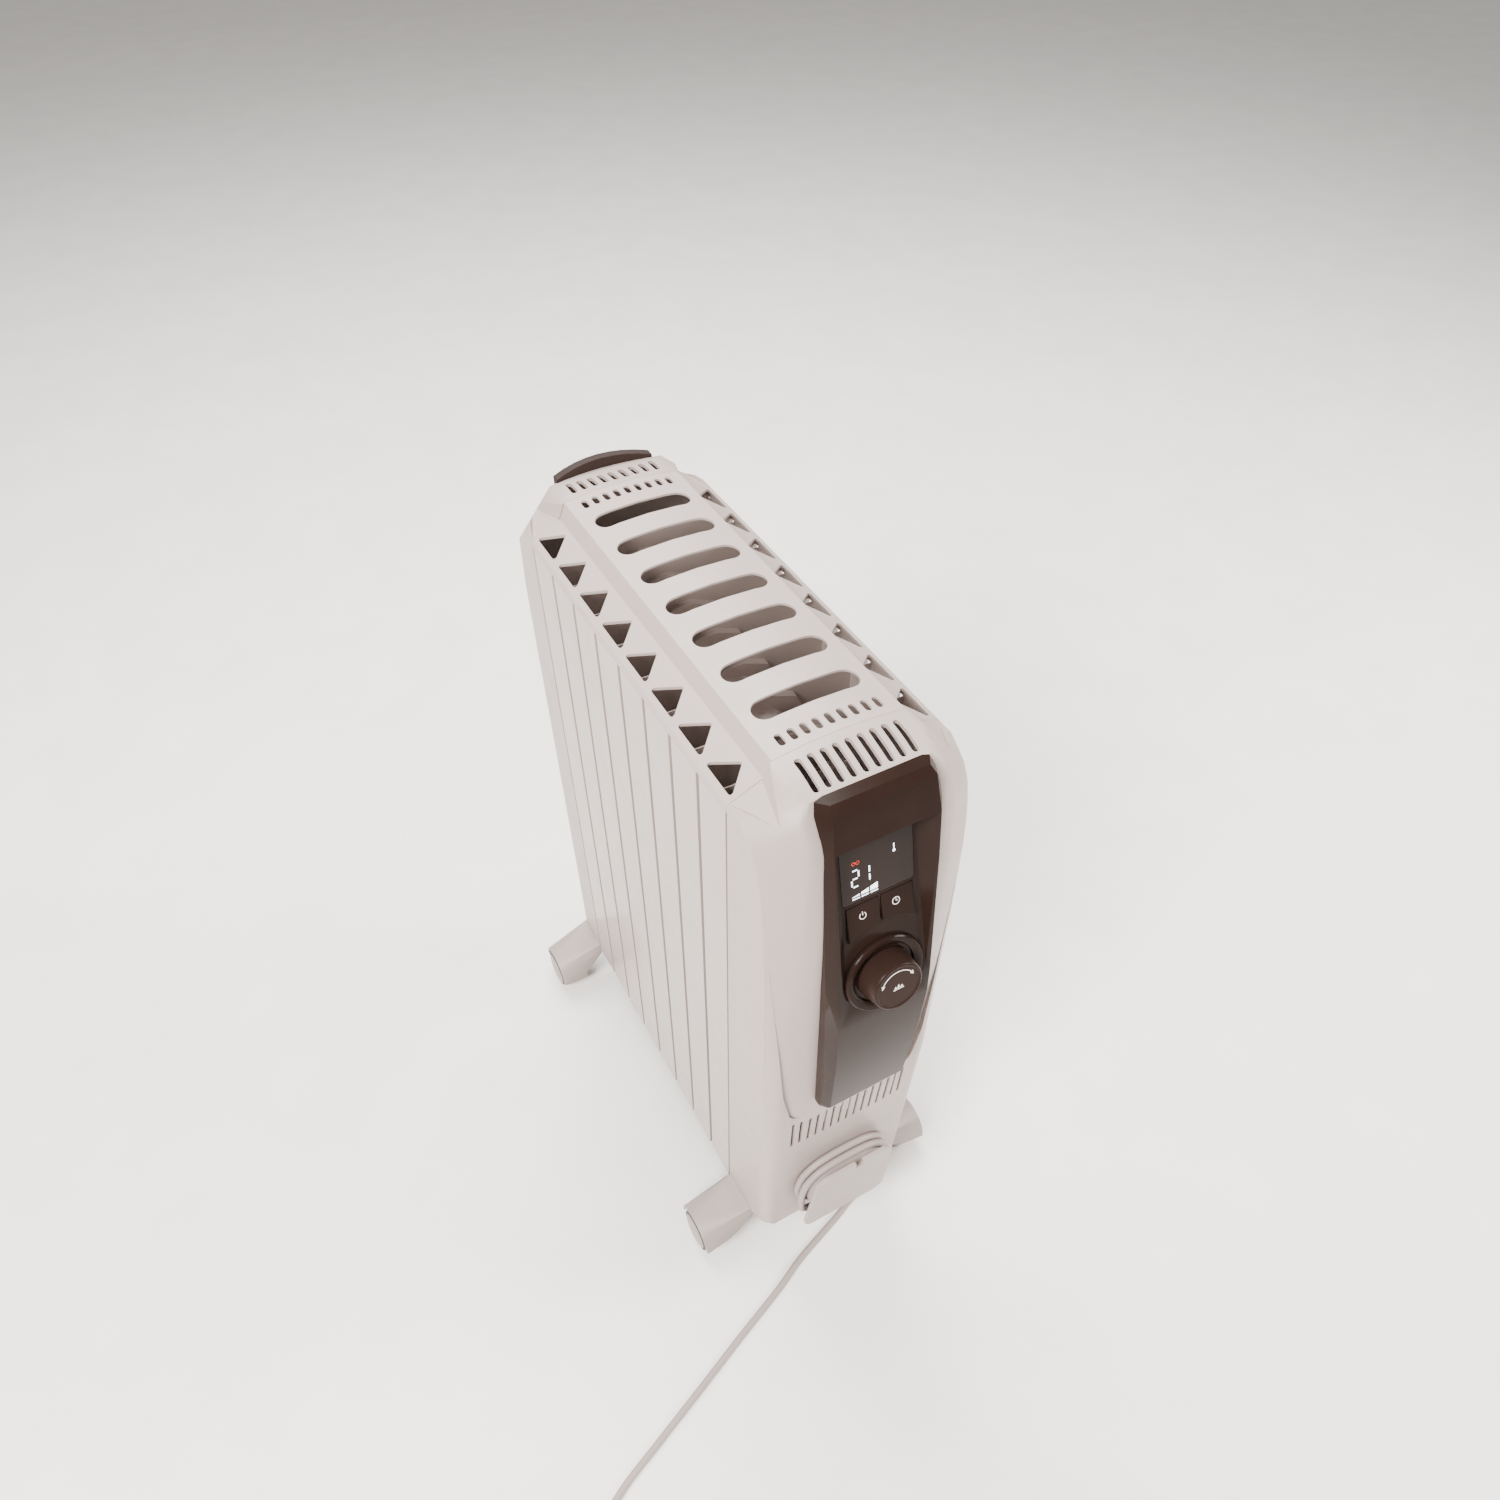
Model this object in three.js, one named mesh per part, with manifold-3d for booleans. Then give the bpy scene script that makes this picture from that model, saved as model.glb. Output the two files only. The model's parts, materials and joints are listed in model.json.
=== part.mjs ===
// An oil filled radiator heater, in millimetres, +Z up. The control panel faces -Y and the fins stand
// in a row along Y. The origin is on the floor, under the middle of the heater without its cord.
import * as THREE from "three";
import { ConvexGeometry } from "three/addons/geometries/ConvexGeometry.js";
import { mergeVertices } from "three/addons/utils/BufferGeometryUtils.js";
import Module from "manifold-3d";

const wasm = await Module();
wasm.setup();

// ---- Driving dimensions ----
// The row of fins
const finCount = 8;
const finPitch = 41.5;
const finGap = 4.6; // open slot between neighbouring side panels
const finLip = 7; // how far a side panel's edges turn inwards
const bodyWidth = 165;
const finBottom = 58;
const finTop = 630;
const steel = 1; // a fin's sheet, and the wall of its oil channel
const channelWidth = 76;
const channelDepth = 13;
const channelMargin = 30; // from a collar's middle to the channel's end
const collarRadius = 19;
const collarSides = 12;
const collarInset = 44; // from the panel's end to the middle of its collar
// The cover
const lipHeight = 8;
const shoulderHalf = 56;
const shoulderRise = 11.7;
const ridgeHalf = 50.5;
const ridgeRise = 12.8;
const crownRise = 4;
const coverWall = 1.8;
const ovalLength = 82;
const ovalWidth = 19.5;
const triangleCorner = 1.7;
const triangleHalf = 18.6;
const louvreCount = 9;
const louvrePitch = 9.3;
const shortLouvre = 11;
const longLouvre = 27;
const louvreWidth = 5;
const louvreInset = 7; // from the seam to the near end of a louvre
// The housings
const shellWall = 2.6;
const seatDepth = 70; // how far the front housing's face stands in front of the seam
const heelDepth = 73; // where it meets the bezel's lower end
const housingBottom = 69;
const rearDepth = 46;
const ventCount = 15;
const ventPitch = 8.15;
const ventWidth = 3;
const ventHeight = 44;
const ventBottom = 240;
// The control panel. Places on it are measured up the panel from the knob's axis.
const bezelHalf = 46;
const bezelFootHalf = 40.5;
const bezelLength = 340; // down from the cover's ridge
const knobDrop = 165.5; // from the cover's ridge down to the knob's axis
const panelDepth = 81.7; // of the knob's axis in front of the seam
const panelTilt = THREE.MathUtils.degToRad(14.9);
const panelHalf = 30.5;
const panelWall = 3;
const panelTop = 124;
const panelFoot = -34;
const pocketHalf = 40.5;
const openingHalf = 38.5; // of the housing's opening behind the bezel
const knobRadius = 22.3;
const knobFace = 20; // radius of its outer end
const knobRise = 20;
const shaftRadius = 3;
const ringRadius = 33;
const ringBore = 25.5;
const ringRise = 4;
const buttonSide = 1.3; // from the panel's middle to a button
const buttonWidth = 25.7;
const buttonTop = 71;
const buttonArc = 49.5; // radius about the knob of the buttons' lower edges
const buttonRise = 3.2; // at a button's lower edge
const buttonTopRise = 0.5;
const buttonTravel = 1.5;
const windowHalf = 29;
const windowFoot = 73.5;
const windowTop = 121;
const boardDepth = 10; // of the control board behind the panel's face
const boardThickness = 1.6;
const glassThickness = 1.5;
const moduleHalf = 24;
const moduleFoot = 79;
const moduleTop = 116;
const bushRadius = 5;
const switchHeight = 2.6;
// The electronics behind the front housing
const shieldHalf = 72;
const shieldFoot = 135;
const shieldTop = 560;
const powerBoardHalf = 42;
const powerBoardHeight = 96;
const powerBoardGap = 18; // from the seam
const boardFoot = 196;
const relayCount = 3;
const relayPitch = 22;
// The rear housing
const rearLouvre = 18;
const rearVentCount = 9;
const rearVentPitch = 11;
const rearVentHeight = 4.5;
const rearVentHalf = 42;
const rearVentFoot = 150;
const gripHalf = 43.5;
const gripDepth = 8;
const gripBow = 8; // how far the grip's ends stand ahead of its middle
// The feet
const wheelRadius = 24;
const wheelWidth = 33;
const wheelOuter = 136; // from the middle of the heater to a wheel's outer rim
const capDome = 3;
const wheelSetback = 22.3; // from the seam to the wheel's axle
const footWidth = 46;
const hoodWall = 2.6;
const hoodGap = 1.6;
const axleRadius = 3.2;
// The cord
const cordDiameter = 7;
const cordTurns = 2;
const coreWidth = 86;
const coreHeight = 88;
const coreCorner = 30;
const coreBottom = 90;
const plateThickness = 4.5;
const plateTop = 193;
const plateBottom = 78;
const plateTopHalf = 41;
const plateFootHalf = 47;
const plateTip = THREE.MathUtils.degToRad(3.6); // its top stands further out
const wrapGap = 1; // between the wound cord and the core
const glandRadius = 6.3;
const reliefLength = 26;
const cordSides = 8;
const windingSteps = 72;
const runSteps = 48;
const coilTurnRadius = 38.5; // to the middle of the coil's turns
const coilSection = 14.5; // width and height of the bundled turns
const plugRadius = 17;
const plugLength = 36;
const pinRadius = 2.4;
const pinLength = 19;
const pinSpacing = 19;
// Clearances
const fit = 0.3; // between pieces that touch
const slack = 0.5; // around pieces that move

// ---- Worked out from the driving dimensions ----
const stackHalf = (finCount * finPitch) / 2;
const bodyHalf = bodyWidth / 2;
const lipTop = finTop + lipHeight;
const shoulderTop = lipTop + shoulderRise;
const ridgeTop = shoulderTop + ridgeRise;
const crownTop = ridgeTop + crownRise;
const lowerCollar = finBottom + collarInset;
const upperCollar = finTop - collarInset;
const faceY = -(stackHalf + seatDepth);
const coreDepth = cordTurns * cordDiameter + 2;
const plateBack = faceY - coreDepth - fit;
const axleY = stackHalf + wheelSetback;
const seamY = -stackHalf - fit / 2; // the front seam between the row and the housing
const panelY = -stackHalf - panelDepth;
const knobHeight = ridgeTop - knobDrop;
const bezelBottom = ridgeTop - bezelLength;
const openingTop = ridgeTop - 36.5; // just below the bezel's brow
const openingBottom = bezelBottom + 22;
const powerBoardY = seamY - powerBoardGap;
const gripTop = crownTop + 1.2;
const gripFoot = ridgeTop - 8;
const buttonMiddle = buttonSide + buttonWidth / 2;
const glandX = 20;
const glandZ = coreBottom + 38;

// ---- Geometry helpers ----
const vec = (x, y, z) => new THREE.Vector3(x, y, z);
const mirrored = (points) => points.concat(points.map(([x, y, z]) => [-x, y, z]));

function solidOf(geometry) {
  const bare = geometry.index ? geometry.toNonIndexed() : geometry.clone();
  bare.deleteAttribute("normal");
  bare.deleteAttribute("uv");
  const merged = mergeVertices(bare, 1e-4);
  const mesh = new wasm.Mesh({
    numProp: 3,
    vertProperties: new Float32Array(merged.attributes.position.array),
    triVerts: new Uint32Array(merged.index.array),
  });
  return new wasm.Manifold(mesh);
}

function geometryOf(solid) {
  const mesh = solid.getMesh();
  const geometry = new THREE.BufferGeometry();
  geometry.setAttribute("position", new THREE.BufferAttribute(mesh.vertProperties, 3));
  geometry.setIndex(new THREE.BufferAttribute(mesh.triVerts, 1));
  geometry.computeVertexNormals();
  return geometry;
}

const joined = (...geometries) => geometryOf(geometries.map(solidOf).reduce((a, b) => a.add(b)));
const cut = (geometry, ...tools) =>
  geometryOf(tools.map(solidOf).reduce((a, b) => a.subtract(b), solidOf(geometry)));
const common = (a, b) => geometryOf(solidOf(a).intersect(solidOf(b)));

const outline = (points) => new THREE.Shape(points.map(([x, y]) => new THREE.Vector2(x, y)));

// A prism of an outline, extruded along one axis between two places on it.
function prism(shape, axis, from, to) {
  const geometry = new THREE.ExtrudeGeometry(shape, { depth: to - from, bevelEnabled: false });
  const [x, y, z] = [vec(1, 0, 0), vec(0, 1, 0), vec(0, 0, 1)];
  if (axis === "x") geometry.applyMatrix4(new THREE.Matrix4().makeBasis(y, z, x)).translate(from, 0, 0);
  if (axis === "y") {
    const upright = new THREE.Matrix4().makeBasis(x, z, vec(0, -1, 0));
    geometry.applyMatrix4(upright).translate(0, to, 0);
  }
  if (axis === "z") geometry.translate(0, 0, from);
  return geometry;
}

function box(x0, x1, y0, y1, z0, z1) {
  const geometry = new THREE.BoxGeometry(x1 - x0, y1 - y0, z1 - z0);
  return geometry.translate((x0 + x1) / 2, (y0 + y1) / 2, (z0 + z1) / 2);
}

// A box on one side of the middle, from its near end to its far end.
function sideBox(side, near, far, ...rest) {
  return box(...[side * near, side * far].sort((a, b) => a - b), ...rest);
}

// A cylinder along an axis, from one place on it to another.
function rod(axis, radius, from, to, sides = 16) {
  const geometry = new THREE.CylinderGeometry(radius, radius, to - from, sides);
  if (axis === "x") geometry.rotateZ(-Math.PI / 2).translate((from + to) / 2, 0, 0);
  if (axis === "y") geometry.translate(0, (from + to) / 2, 0);
  if (axis === "z") geometry.rotateX(Math.PI / 2).translate(0, 0, (from + to) / 2);
  return geometry;
}

const hull = (points) => new ConvexGeometry(points.map(([x, y, z]) => vec(x, y, z)));

// A polygon with each corner rounded by an arc.
function rounded(corners, radius, steps = 4) {
  const shape = new THREE.Shape();
  corners.forEach((corner, i) => {
    const at = new THREE.Vector2(...corner);
    const before = new THREE.Vector2(...corners.at(i - 1)).sub(at);
    const after = new THREE.Vector2(...corners[(i + 1) % corners.length]).sub(at);
    const half = before.angleTo(after) / 2;
    const run = Math.min(radius / Math.tan(half), before.length() * 0.49, after.length() * 0.49);
    const middle = before.clone().normalize().add(after.clone().normalize()).normalize();
    const arcRadius = run * Math.tan(half);
    const centre = at.clone().addScaledVector(middle, run / Math.cos(half));
    const start = at.clone().addScaledVector(before.normalize(), run).sub(centre);
    const end = at.clone().addScaledVector(after.normalize(), run).sub(centre);
    let sweep = end.angle() - start.angle();
    if (sweep > Math.PI) sweep -= 2 * Math.PI;
    if (sweep < -Math.PI) sweep += 2 * Math.PI;
    for (let k = 0; k <= steps; k++) {
      const a = start.angle() + (sweep * k) / steps;
      const p = [centre.x + arcRadius * Math.cos(a), centre.y + arcRadius * Math.sin(a)];
      if (i + k) shape.lineTo(...p);
      else shape.moveTo(...p);
    }
  });
  return shape;
}

const rectangle = (x0, x1, y0, y1) => [[x0, y0], [x1, y0], [x1, y1], [x0, y1]];

// A turned piece about Z from its outline of [radius, height].
function turned(profile, sides = 24) {
  return new THREE.LatheGeometry(profile.map(([r, h]) => new THREE.Vector2(r, h)), sides).rotateX(Math.PI / 2);
}

function curveThrough(points) {
  return new THREE.CatmullRomCurve3(points.map(([x, y, z]) => vec(x, y, z)), false, "centripetal");
}

function tube(points, radius, sides, steps) {
  const section = new THREE.Shape().absarc(0, 0, radius, 0, 2 * Math.PI);
  const path = curveThrough(points);
  return new THREE.ExtrudeGeometry(section, { steps, curveSegments: sides / 2, extrudePath: path });
}

// ---- Materials ----
function finish(color, roughness, metalness = 0) {
  return new THREE.MeshStandardMaterial({ color, roughness, metalness });
}
const enamel = finish(0xe9dfd6, 0.38, 0.1);
const casing = finish(0xe6dad1, 0.45);
const glossBrown = finish(0x2b1712, 0.08);
const satinBrown = finish(0x3a2720, 0.4);
const greyPlastic = finish(0xcfc8c2, 0.5);
const palePlastic = finish(0xe4ddd5, 0.5);
const lamp = finish(0x181010, 0.15);
const bareSteel = finish(0x9a9a98, 0.35, 0.9);
const board = finish(0x1f5a3a, 0.6);
const ceramic = finish(0xd8d3c8, 0.6);

const heater = new THREE.Group();
const body = new THREE.Group();
heater.add(body);

function add(name, geometry, material, parent = body) {
  const mesh = new THREE.Mesh(geometry, material);
  mesh.name = name;
  parent.add(mesh);
  return mesh;
}

// ---- Fins ----
// A fin is a folded sheet with a side panel at each edge, an oil channel and two collars through it.
function finSection() {
  const web = steel / 2;
  const edge = (finPitch - finGap) / 2;
  const lip = bodyHalf - finLip;
  const inner = bodyHalf - steel;
  const quarter = [[inner, web], [inner, edge - steel], [lip, edge - steel], [lip, edge], [bodyHalf, edge]];
  const right = quarter.concat(quarter.map(([x, y]) => [x, -y]).reverse());
  return outline(right.concat(right.map(([x, y]) => [-x, -y])));
}

function channel(inset) {
  const half = channelWidth / 2 - inset;
  const foot = lowerCollar - channelMargin + inset;
  const corners = rectangle(-half, half, foot, upperCollar + channelMargin - inset);
  const depth = channelDepth / 2 - inset;
  return prism(rounded(corners, half * 0.8, 2), "y", -depth, depth);
}

function fin() {
  const reach = (finPitch - fit) / 2;
  const collar = (radius, height, length) =>
    rod("y", radius, -length, length, collarSides).translate(0, 0, height);
  const shell = joined(
    prism(finSection(), "z", finBottom, finTop),
    channel(0),
    collar(collarRadius, lowerCollar, reach),
    collar(collarRadius, upperCollar, reach),
  );
  const bore = collarRadius - steel * 2;
  const bores = [lowerCollar, upperCollar].map((height) => collar(bore, height, finPitch));
  return cut(shell, channel(steel), ...bores);
}

const finGeometry = fin();
for (let i = 0; i < finCount; i++) {
  const y = -stackHalf + finPitch * (i + 0.5);
  add(`fin_${i + 1}`, finGeometry, enamel).position.y = y;
}

// Hexagonal plugs close the collars at the ends of the row.
function collarPlug(name, height, side) {
  const head = rod("y", collarRadius * 0.9, 0, 6, 6);
  const neck = rod("y", collarRadius - steel * 2 - fit, -10, 0.5, collarSides);
  const plug = joined(head, neck).translate(0, fit, 0);
  const mesh = add(name, plug, bareSteel);
  mesh.rotation.z = side < 0 ? Math.PI : 0;
  mesh.position.set(0, side * stackHalf, height);
}
collarPlug("upper_front_plug", upperCollar, -1);
collarPlug("oil_filler_plug", upperCollar, 1);
collarPlug("lower_rear_plug", lowerCollar, 1);

// ---- Heating element ----
const legRadius = 4;
const legSpread = 7;
const tailReach = 20; // how far the element's tails stand in front of the row
function heatingElement() {
  const back = stackHalf - 40;
  const front = -stackHalf - tailReach;
  const leg = (side) => [[0, front * 0.5, side * legSpread], [0, back * 0.6, side * legSpread]];
  const bend = [[0, back, legSpread], [0, back + legSpread, 0], [0, back, -legSpread]];
  const points = [[0, front, legSpread], ...leg(1), ...bend, ...leg(-1).reverse(), [0, front, -legSpread]];
  return tube(points, legRadius, 6, 28);
}
add("heating_element", heatingElement(), bareSteel).position.z = lowerCollar;

function heaterFlange() {
  const thickness = 7;
  const plate = rod("y", collarRadius + 5, -thickness, 0, 6);
  const spigot = rod("y", collarRadius - steel * 2 - fit, -0.5, 8, collarSides);
  const hole = (side) => rod("y", legRadius + fit, -9, 9, 12).translate(0, 0, side * legSpread);
  const holes = [hole(1), hole(-1)];
  return cut(joined(plate, spigot), ...holes);
}
add("heater_flange", heaterFlange(), bareSteel).position.set(0, -stackHalf - fit, lowerCollar);
// A thermal cut-out sits on the first fin, up and to the right of the element.
const cutout = rod("y", 8, -stackHalf - 20, -stackHalf - 8, 12);
add("thermal_cutout", cutout, ceramic).position.set(32, 0, lowerCollar + 26);

// ---- Cover ----
// The outline of the cover across the heater: lip, shoulder, steep step and a gently arched crown.
function coverOutline(inset) {
  const arch = [];
  const steps = 4;
  for (let i = 0; i <= steps; i++) {
    const x = (ridgeHalf - inset) * (1 - (2 * i) / steps);
    arch.push([x, ridgeTop - inset + crownRise * (1 - (x / (ridgeHalf - inset)) ** 2)]);
  }
  const side = [[bodyHalf - inset, lipTop - inset], [shoulderHalf - inset, shoulderTop - inset]];
  return [...side, ...arch, ...side.map(([x, z]) => [-x, z]).reverse()];
}

function coverPrism(inset, from, to, bottom) {
  const edge = bodyHalf - inset;
  return prism(outline([[-edge, bottom], [edge, bottom], ...coverOutline(inset)]), "y", from, to);
}

function triangleCut(y, side) {
  const base = side * (bodyHalf - 4.5);
  const apex = side * (shoulderHalf + 3.5);
  const corners = [[base, y + triangleHalf], [apex, y], [base, y - triangleHalf]];
  return prism(rounded(corners, triangleCorner, 2), "z", lipTop - 3, crownTop);
}

function louvres(near, length, bottom, top) {
  const cuts = [];
  for (let i = 0; i < louvreCount; i++) {
    const x = (i - (louvreCount - 1) / 2) * louvrePitch;
    const [low, high] = [Math.min(near, near + length), Math.max(near, near + length)];
    const corners = rectangle(x - louvreWidth / 2, x + louvreWidth / 2, low, high);
    cuts.push(prism(rounded(corners, louvreWidth * 0.45, 2), "z", bottom, top));
  }
  return cuts;
}

function topCover() {
  const half = stackHalf - fit / 2;
  const shell = cut(
    coverPrism(0, -half, half, finTop + fit),
    coverPrism(coverWall, -half - 1, half + 1, finTop - 10),
  );
  const cuts = [];
  for (let i = 1; i < finCount; i++) {
    const corners = rectangle(-ovalLength / 2, ovalLength / 2, -ovalWidth / 2, ovalWidth / 2);
    const oval = prism(rounded(corners, ovalWidth / 2, 5), "z", shoulderTop, crownTop + 5);
    cuts.push(oval.translate(0, -stackHalf + finPitch * i, 0));
  }
  for (let i = 0; i < finCount; i++) {
    const y = -stackHalf + finPitch * (i + 0.5);
    cuts.push(triangleCut(y, 1), triangleCut(y, -1));
  }
  cuts.push(...louvres(-stackHalf + louvreInset, shortLouvre, shoulderTop, crownTop + 5));
  cuts.push(...louvres(stackHalf - louvreInset, -shortLouvre, shoulderTop, crownTop + 5));
  return cut(shell, ...cuts);
}
add("top_cover", topCover(), casing);

// ---- Front housing ----
// Lines of points run down the housing's right side: [half width, depth in front of the seam, height].
const sideLine = [
  [bodyHalf, 14, lipTop], [bodyHalf, 35, lipTop - 16], [bodyHalf, 46, lipTop - 53],
  [bodyHalf, 52, lipTop - 117], [bodyHalf, 57, lipTop - 218], [bodyHalf, 60, lipTop - 318],
];
const cheekLine = [
  [ridgeHalf, 18, ridgeTop - 1], [ridgeHalf + 3.5, 38, ridgeTop - 9], [ridgeHalf + 6.5, 50, ridgeTop - 26],
  [ridgeHalf + 8.5, 57, ridgeTop - 53], [ridgeHalf + 9.5, 65, ridgeTop - 142],
  [ridgeHalf + 9.5, 67, ridgeTop - 350],
];
const seatLine = [
  [bezelHalf, 38, ridgeTop - 5], [bezelHalf, 44, ridgeTop - 13], [bezelHalf, 55, ridgeTop - 30],
  [bezelHalf, 61, ridgeTop - 63], [bezelHalf, 66, ridgeTop - 103], [bezelHalf, seatDepth, ridgeTop - 163],
  [bezelHalf, heelDepth, bezelBottom - 6],
];
const shoulderDip = [bodyHalf - 17, 38, lipTop + 5]; // where the cover's shoulder runs out
const scoopTop = lipTop - 120;
const scoopBottom = bezelBottom - 29;

function grown([x, depth, z], inset) {
  const inwards = depth > 0 ? depth - inset : depth;
  return [x - inset, seamY - inwards, z - inset];
}

// Points of a smooth skin that runs through several lines of points.
function skin(lines, along, across) {
  const runs = lines.map((line) => curveThrough(line).getPoints(along));
  return runs[0].flatMap((_, i) => curveThrough(runs.map((run) => run[i].toArray())).getPoints(across))
    .map((p) => p.toArray());
}

function upperBody(inset, back) {
  const foot = housingBottom + 2 * inset;
  const lines = skin([sideLine, cheekLine, seatLine], 12, 6).map((p) => grown(p, inset));
  const seam = coverOutline(inset).filter(([x]) => x >= 0).map(([x, z]) => [x, seamY + back, z]);
  const bottom = [[bodyHalf, back, foot], [bodyHalf, 54 - inset, foot], [bezelHalf, seatDepth - 4 - inset, foot]];
  const low = bottom.map(([x, d, z], i) => [x - inset, seamY + (i ? -d : d), z - inset]);
  return hull(mirrored([...lines, ...seam, ...low]));
}

// The full width box at the bottom reaches up beside the scoops that flank the bezel.
function lowerBody() {
  const ring = (x0, x1, x2, d0, d1, d2, z) => [[x0, -d0, z], [x1, -d1, z], [x2, -d2, z], [x0, 0, z]];
  const wide = ring(bodyHalf, bodyHalf - 6, bodyHalf - 13, 54, 64, seatDepth, housingBottom);
  const middle = ring(bodyHalf, bodyHalf - 6, bodyHalf - 13, 60, 67.5, seatDepth, scoopBottom + 20);
  const narrow = ring(bodyHalf, bodyHalf - 3, bodyHalf - 14, 52, 54.5, 61, scoopTop);
  const points = [...wide, ...middle, ...narrow].map(([x, y, z]) => [x, y - stackHalf - fit / 2, z]);
  return hull(mirrored(points));
}

function scoop(side) {
  const corners = [
    [side * 20, scoopBottom - 6], [side * (bodyHalf - 22), scoopBottom],
    [side * (bodyHalf - 13), scoopBottom + 50],
    [side * (bodyHalf - 3), scoopTop], [side * (bodyHalf + 5), scoopTop + 60], [side * 20, scoopTop + 60],
  ];
  return prism(rounded(corners, 16, 4), "y", faceY - 10, -stackHalf - 30);
}

// The cover's shoulder carries on into the housing and fades out.
function shoulderWedge(side, inset) {
  const near = seamY + 5;
  const [x, depth, z] = shoulderDip;
  const points = [
    [bodyHalf + 0.5, near, lipTop], [shoulderHalf, near, shoulderTop], [ridgeHalf, near, ridgeTop],
    [ridgeHalf + 2, near, ridgeTop + 25], [bodyHalf + 25, near, lipTop + 25],
    [x, -stackHalf - depth, z], [x + 8, -stackHalf - depth, z + 12],
  ];
  return hull(points.map(([px, py, pz]) => [side * (px - inset), py, pz - inset]));
}

function ventCuts() {
  const cuts = [];
  for (let i = 0; i < ventCount; i++) {
    const x = (i - (ventCount - 1) / 2) * ventPitch;
    const edges = [x - ventWidth / 2, x + ventWidth / 2];
    cuts.push(box(...edges, faceY - 6, faceY + 14, ventBottom, ventBottom + ventHeight));
  }
  return cuts;
}

function frontHousing() {
  const outer = joined(upperBody(0, 0), cut(lowerBody(), scoop(1), scoop(-1)));
  const wedged = cut(outer, shoulderWedge(1, 0), shoulderWedge(-1, 0));
  const hollow = cut(upperBody(shellWall, 4), shoulderWedge(1, shellWall), shoulderWedge(-1, shellWall));
  const opening = box(-openingHalf, openingHalf, faceY - 20, faceY + 30, openingBottom, openingTop);
  const top = louvres(-stackHalf - louvreInset, -longLouvre, shoulderTop - 10, crownTop + 5);
  const cordHole = rod("y", glandRadius + fit, faceY - 5, faceY + 20).translate(glandX, 0, glandZ);
  return cut(wedged, hollow, opening, cordHole, ...top, ...ventCuts());
}

add("front_housing", frontHousing(), casing);

// A steel plate keeps the row's heat off the electronics and carries the power board on four pillars.
function frontShield() {
  const [back, front] = [seamY - fit - 2, seamY - fit - 2 - steel];
  const plate = box(-shieldHalf, shieldHalf, front, back, shieldFoot, shieldTop);
  const pillars = [];
  for (const x of [-1, 1]) {
    for (const z of [boardFoot + 8, boardFoot + powerBoardHeight - 8]) {
      pillars.push(rod("y", 3, powerBoardY + fit, back - 0.5, 8).translate(x * (powerBoardHalf - 8), 0, z));
    }
  }
  return joined(plate, ...pillars);
}
add("front_heat_shield", frontShield(), bareSteel);

const powerBoard = box(
  -powerBoardHalf, powerBoardHalf, powerBoardY - boardThickness, powerBoardY,
  boardFoot, boardFoot + powerBoardHeight,
);
add("power_board", powerBoard, board);
const relayBack = powerBoardY - boardThickness - fit;
for (let i = 0; i < relayCount; i++) {
  const x = (i - (relayCount - 1) / 2) * relayPitch;
  const z = boardFoot + powerBoardHeight - 34;
  add(`relay_${i + 1}`, box(x - 8, x + 8, relayBack - 16, relayBack, z, z + 22), lamp);
}
add("terminal_block", box(-24, 24, relayBack - 11, relayBack, boardFoot + 10, boardFoot + 22), palePlastic);
const transformer = box(-16, 12, relayBack - 20, relayBack, boardFoot + 32, boardFoot + 56);
add("transformer", transformer, finish(0x6b4a2a, 0.5));

// ---- Rear housing ----
function rearBody(inset) {
  const seam = coverOutline(inset).filter(([x]) => x >= 0).map(([x, z]) => [x, inset ? -4 : 0, z]);
  const shoulder = [[bodyHalf, 14, lipTop], [bodyHalf, 34, lipTop - 18], [bodyHalf, rearDepth - 6, lipTop - 70]];
  const crown = [
    [ridgeHalf, rearDepth - 16, ridgeTop - 1], [ridgeHalf - 3, rearDepth - gripBow, ridgeTop - 8],
    [ridgeHalf / 2, rearDepth - gripBow / 4, ridgeTop - 6], [0, rearDepth, ridgeTop - 5],
  ];
  const back = [[ridgeHalf + 12, rearDepth, lipTop - 60], [ridgeHalf + 18, rearDepth, housingBottom + 2 * inset]];
  const foot = [[bodyHalf, 0, housingBottom + 2 * inset], [bodyHalf, rearDepth - 6, housingBottom + 2 * inset]];
  const lines = [...shoulder, ...crown, ...back, ...foot];
  const shrunk = lines.map(([x, d, z]) => [x - inset, d > 0 ? d - inset : -4, z - inset]);
  return hull(mirrored([...seam, ...(inset ? shrunk : lines)].map(([x, d, z]) => [x, d - seamY, z])));
}

function rearWedge(side, inset) {
  return shoulderWedge(side, inset).rotateZ(Math.PI);
}

// The grip is a strip let into the housing's upper edge, bowed backwards and arched like the cover's crown.
const gripBack = stackHalf + rearDepth + 2;
function gripBar(grow) {
  const steps = 8;
  const [plan, arch] = [[], []];
  for (let i = 0; i <= steps; i++) {
    const share = 1 - (2 * i) / steps;
    const x = share * (gripHalf + grow);
    plan.push([x, gripBack - gripBow * share ** 2 + grow]);
    arch.push([x, gripTop - 4 * share ** 2 + grow]);
  }
  const inner = plan.map(([x, y]) => [x, y - gripDepth - 2 * grow]).reverse();
  const foot = [[-gripHalf - grow, gripFoot - grow], [gripHalf + grow, gripFoot - grow]];
  const upright = prism(outline([...plan, ...inner].reverse()), "z", gripFoot - grow, gripTop + grow);
  return common(upright, prism(outline([...foot, ...arch]), "y", stackHalf, gripBack + 5));
}

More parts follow.
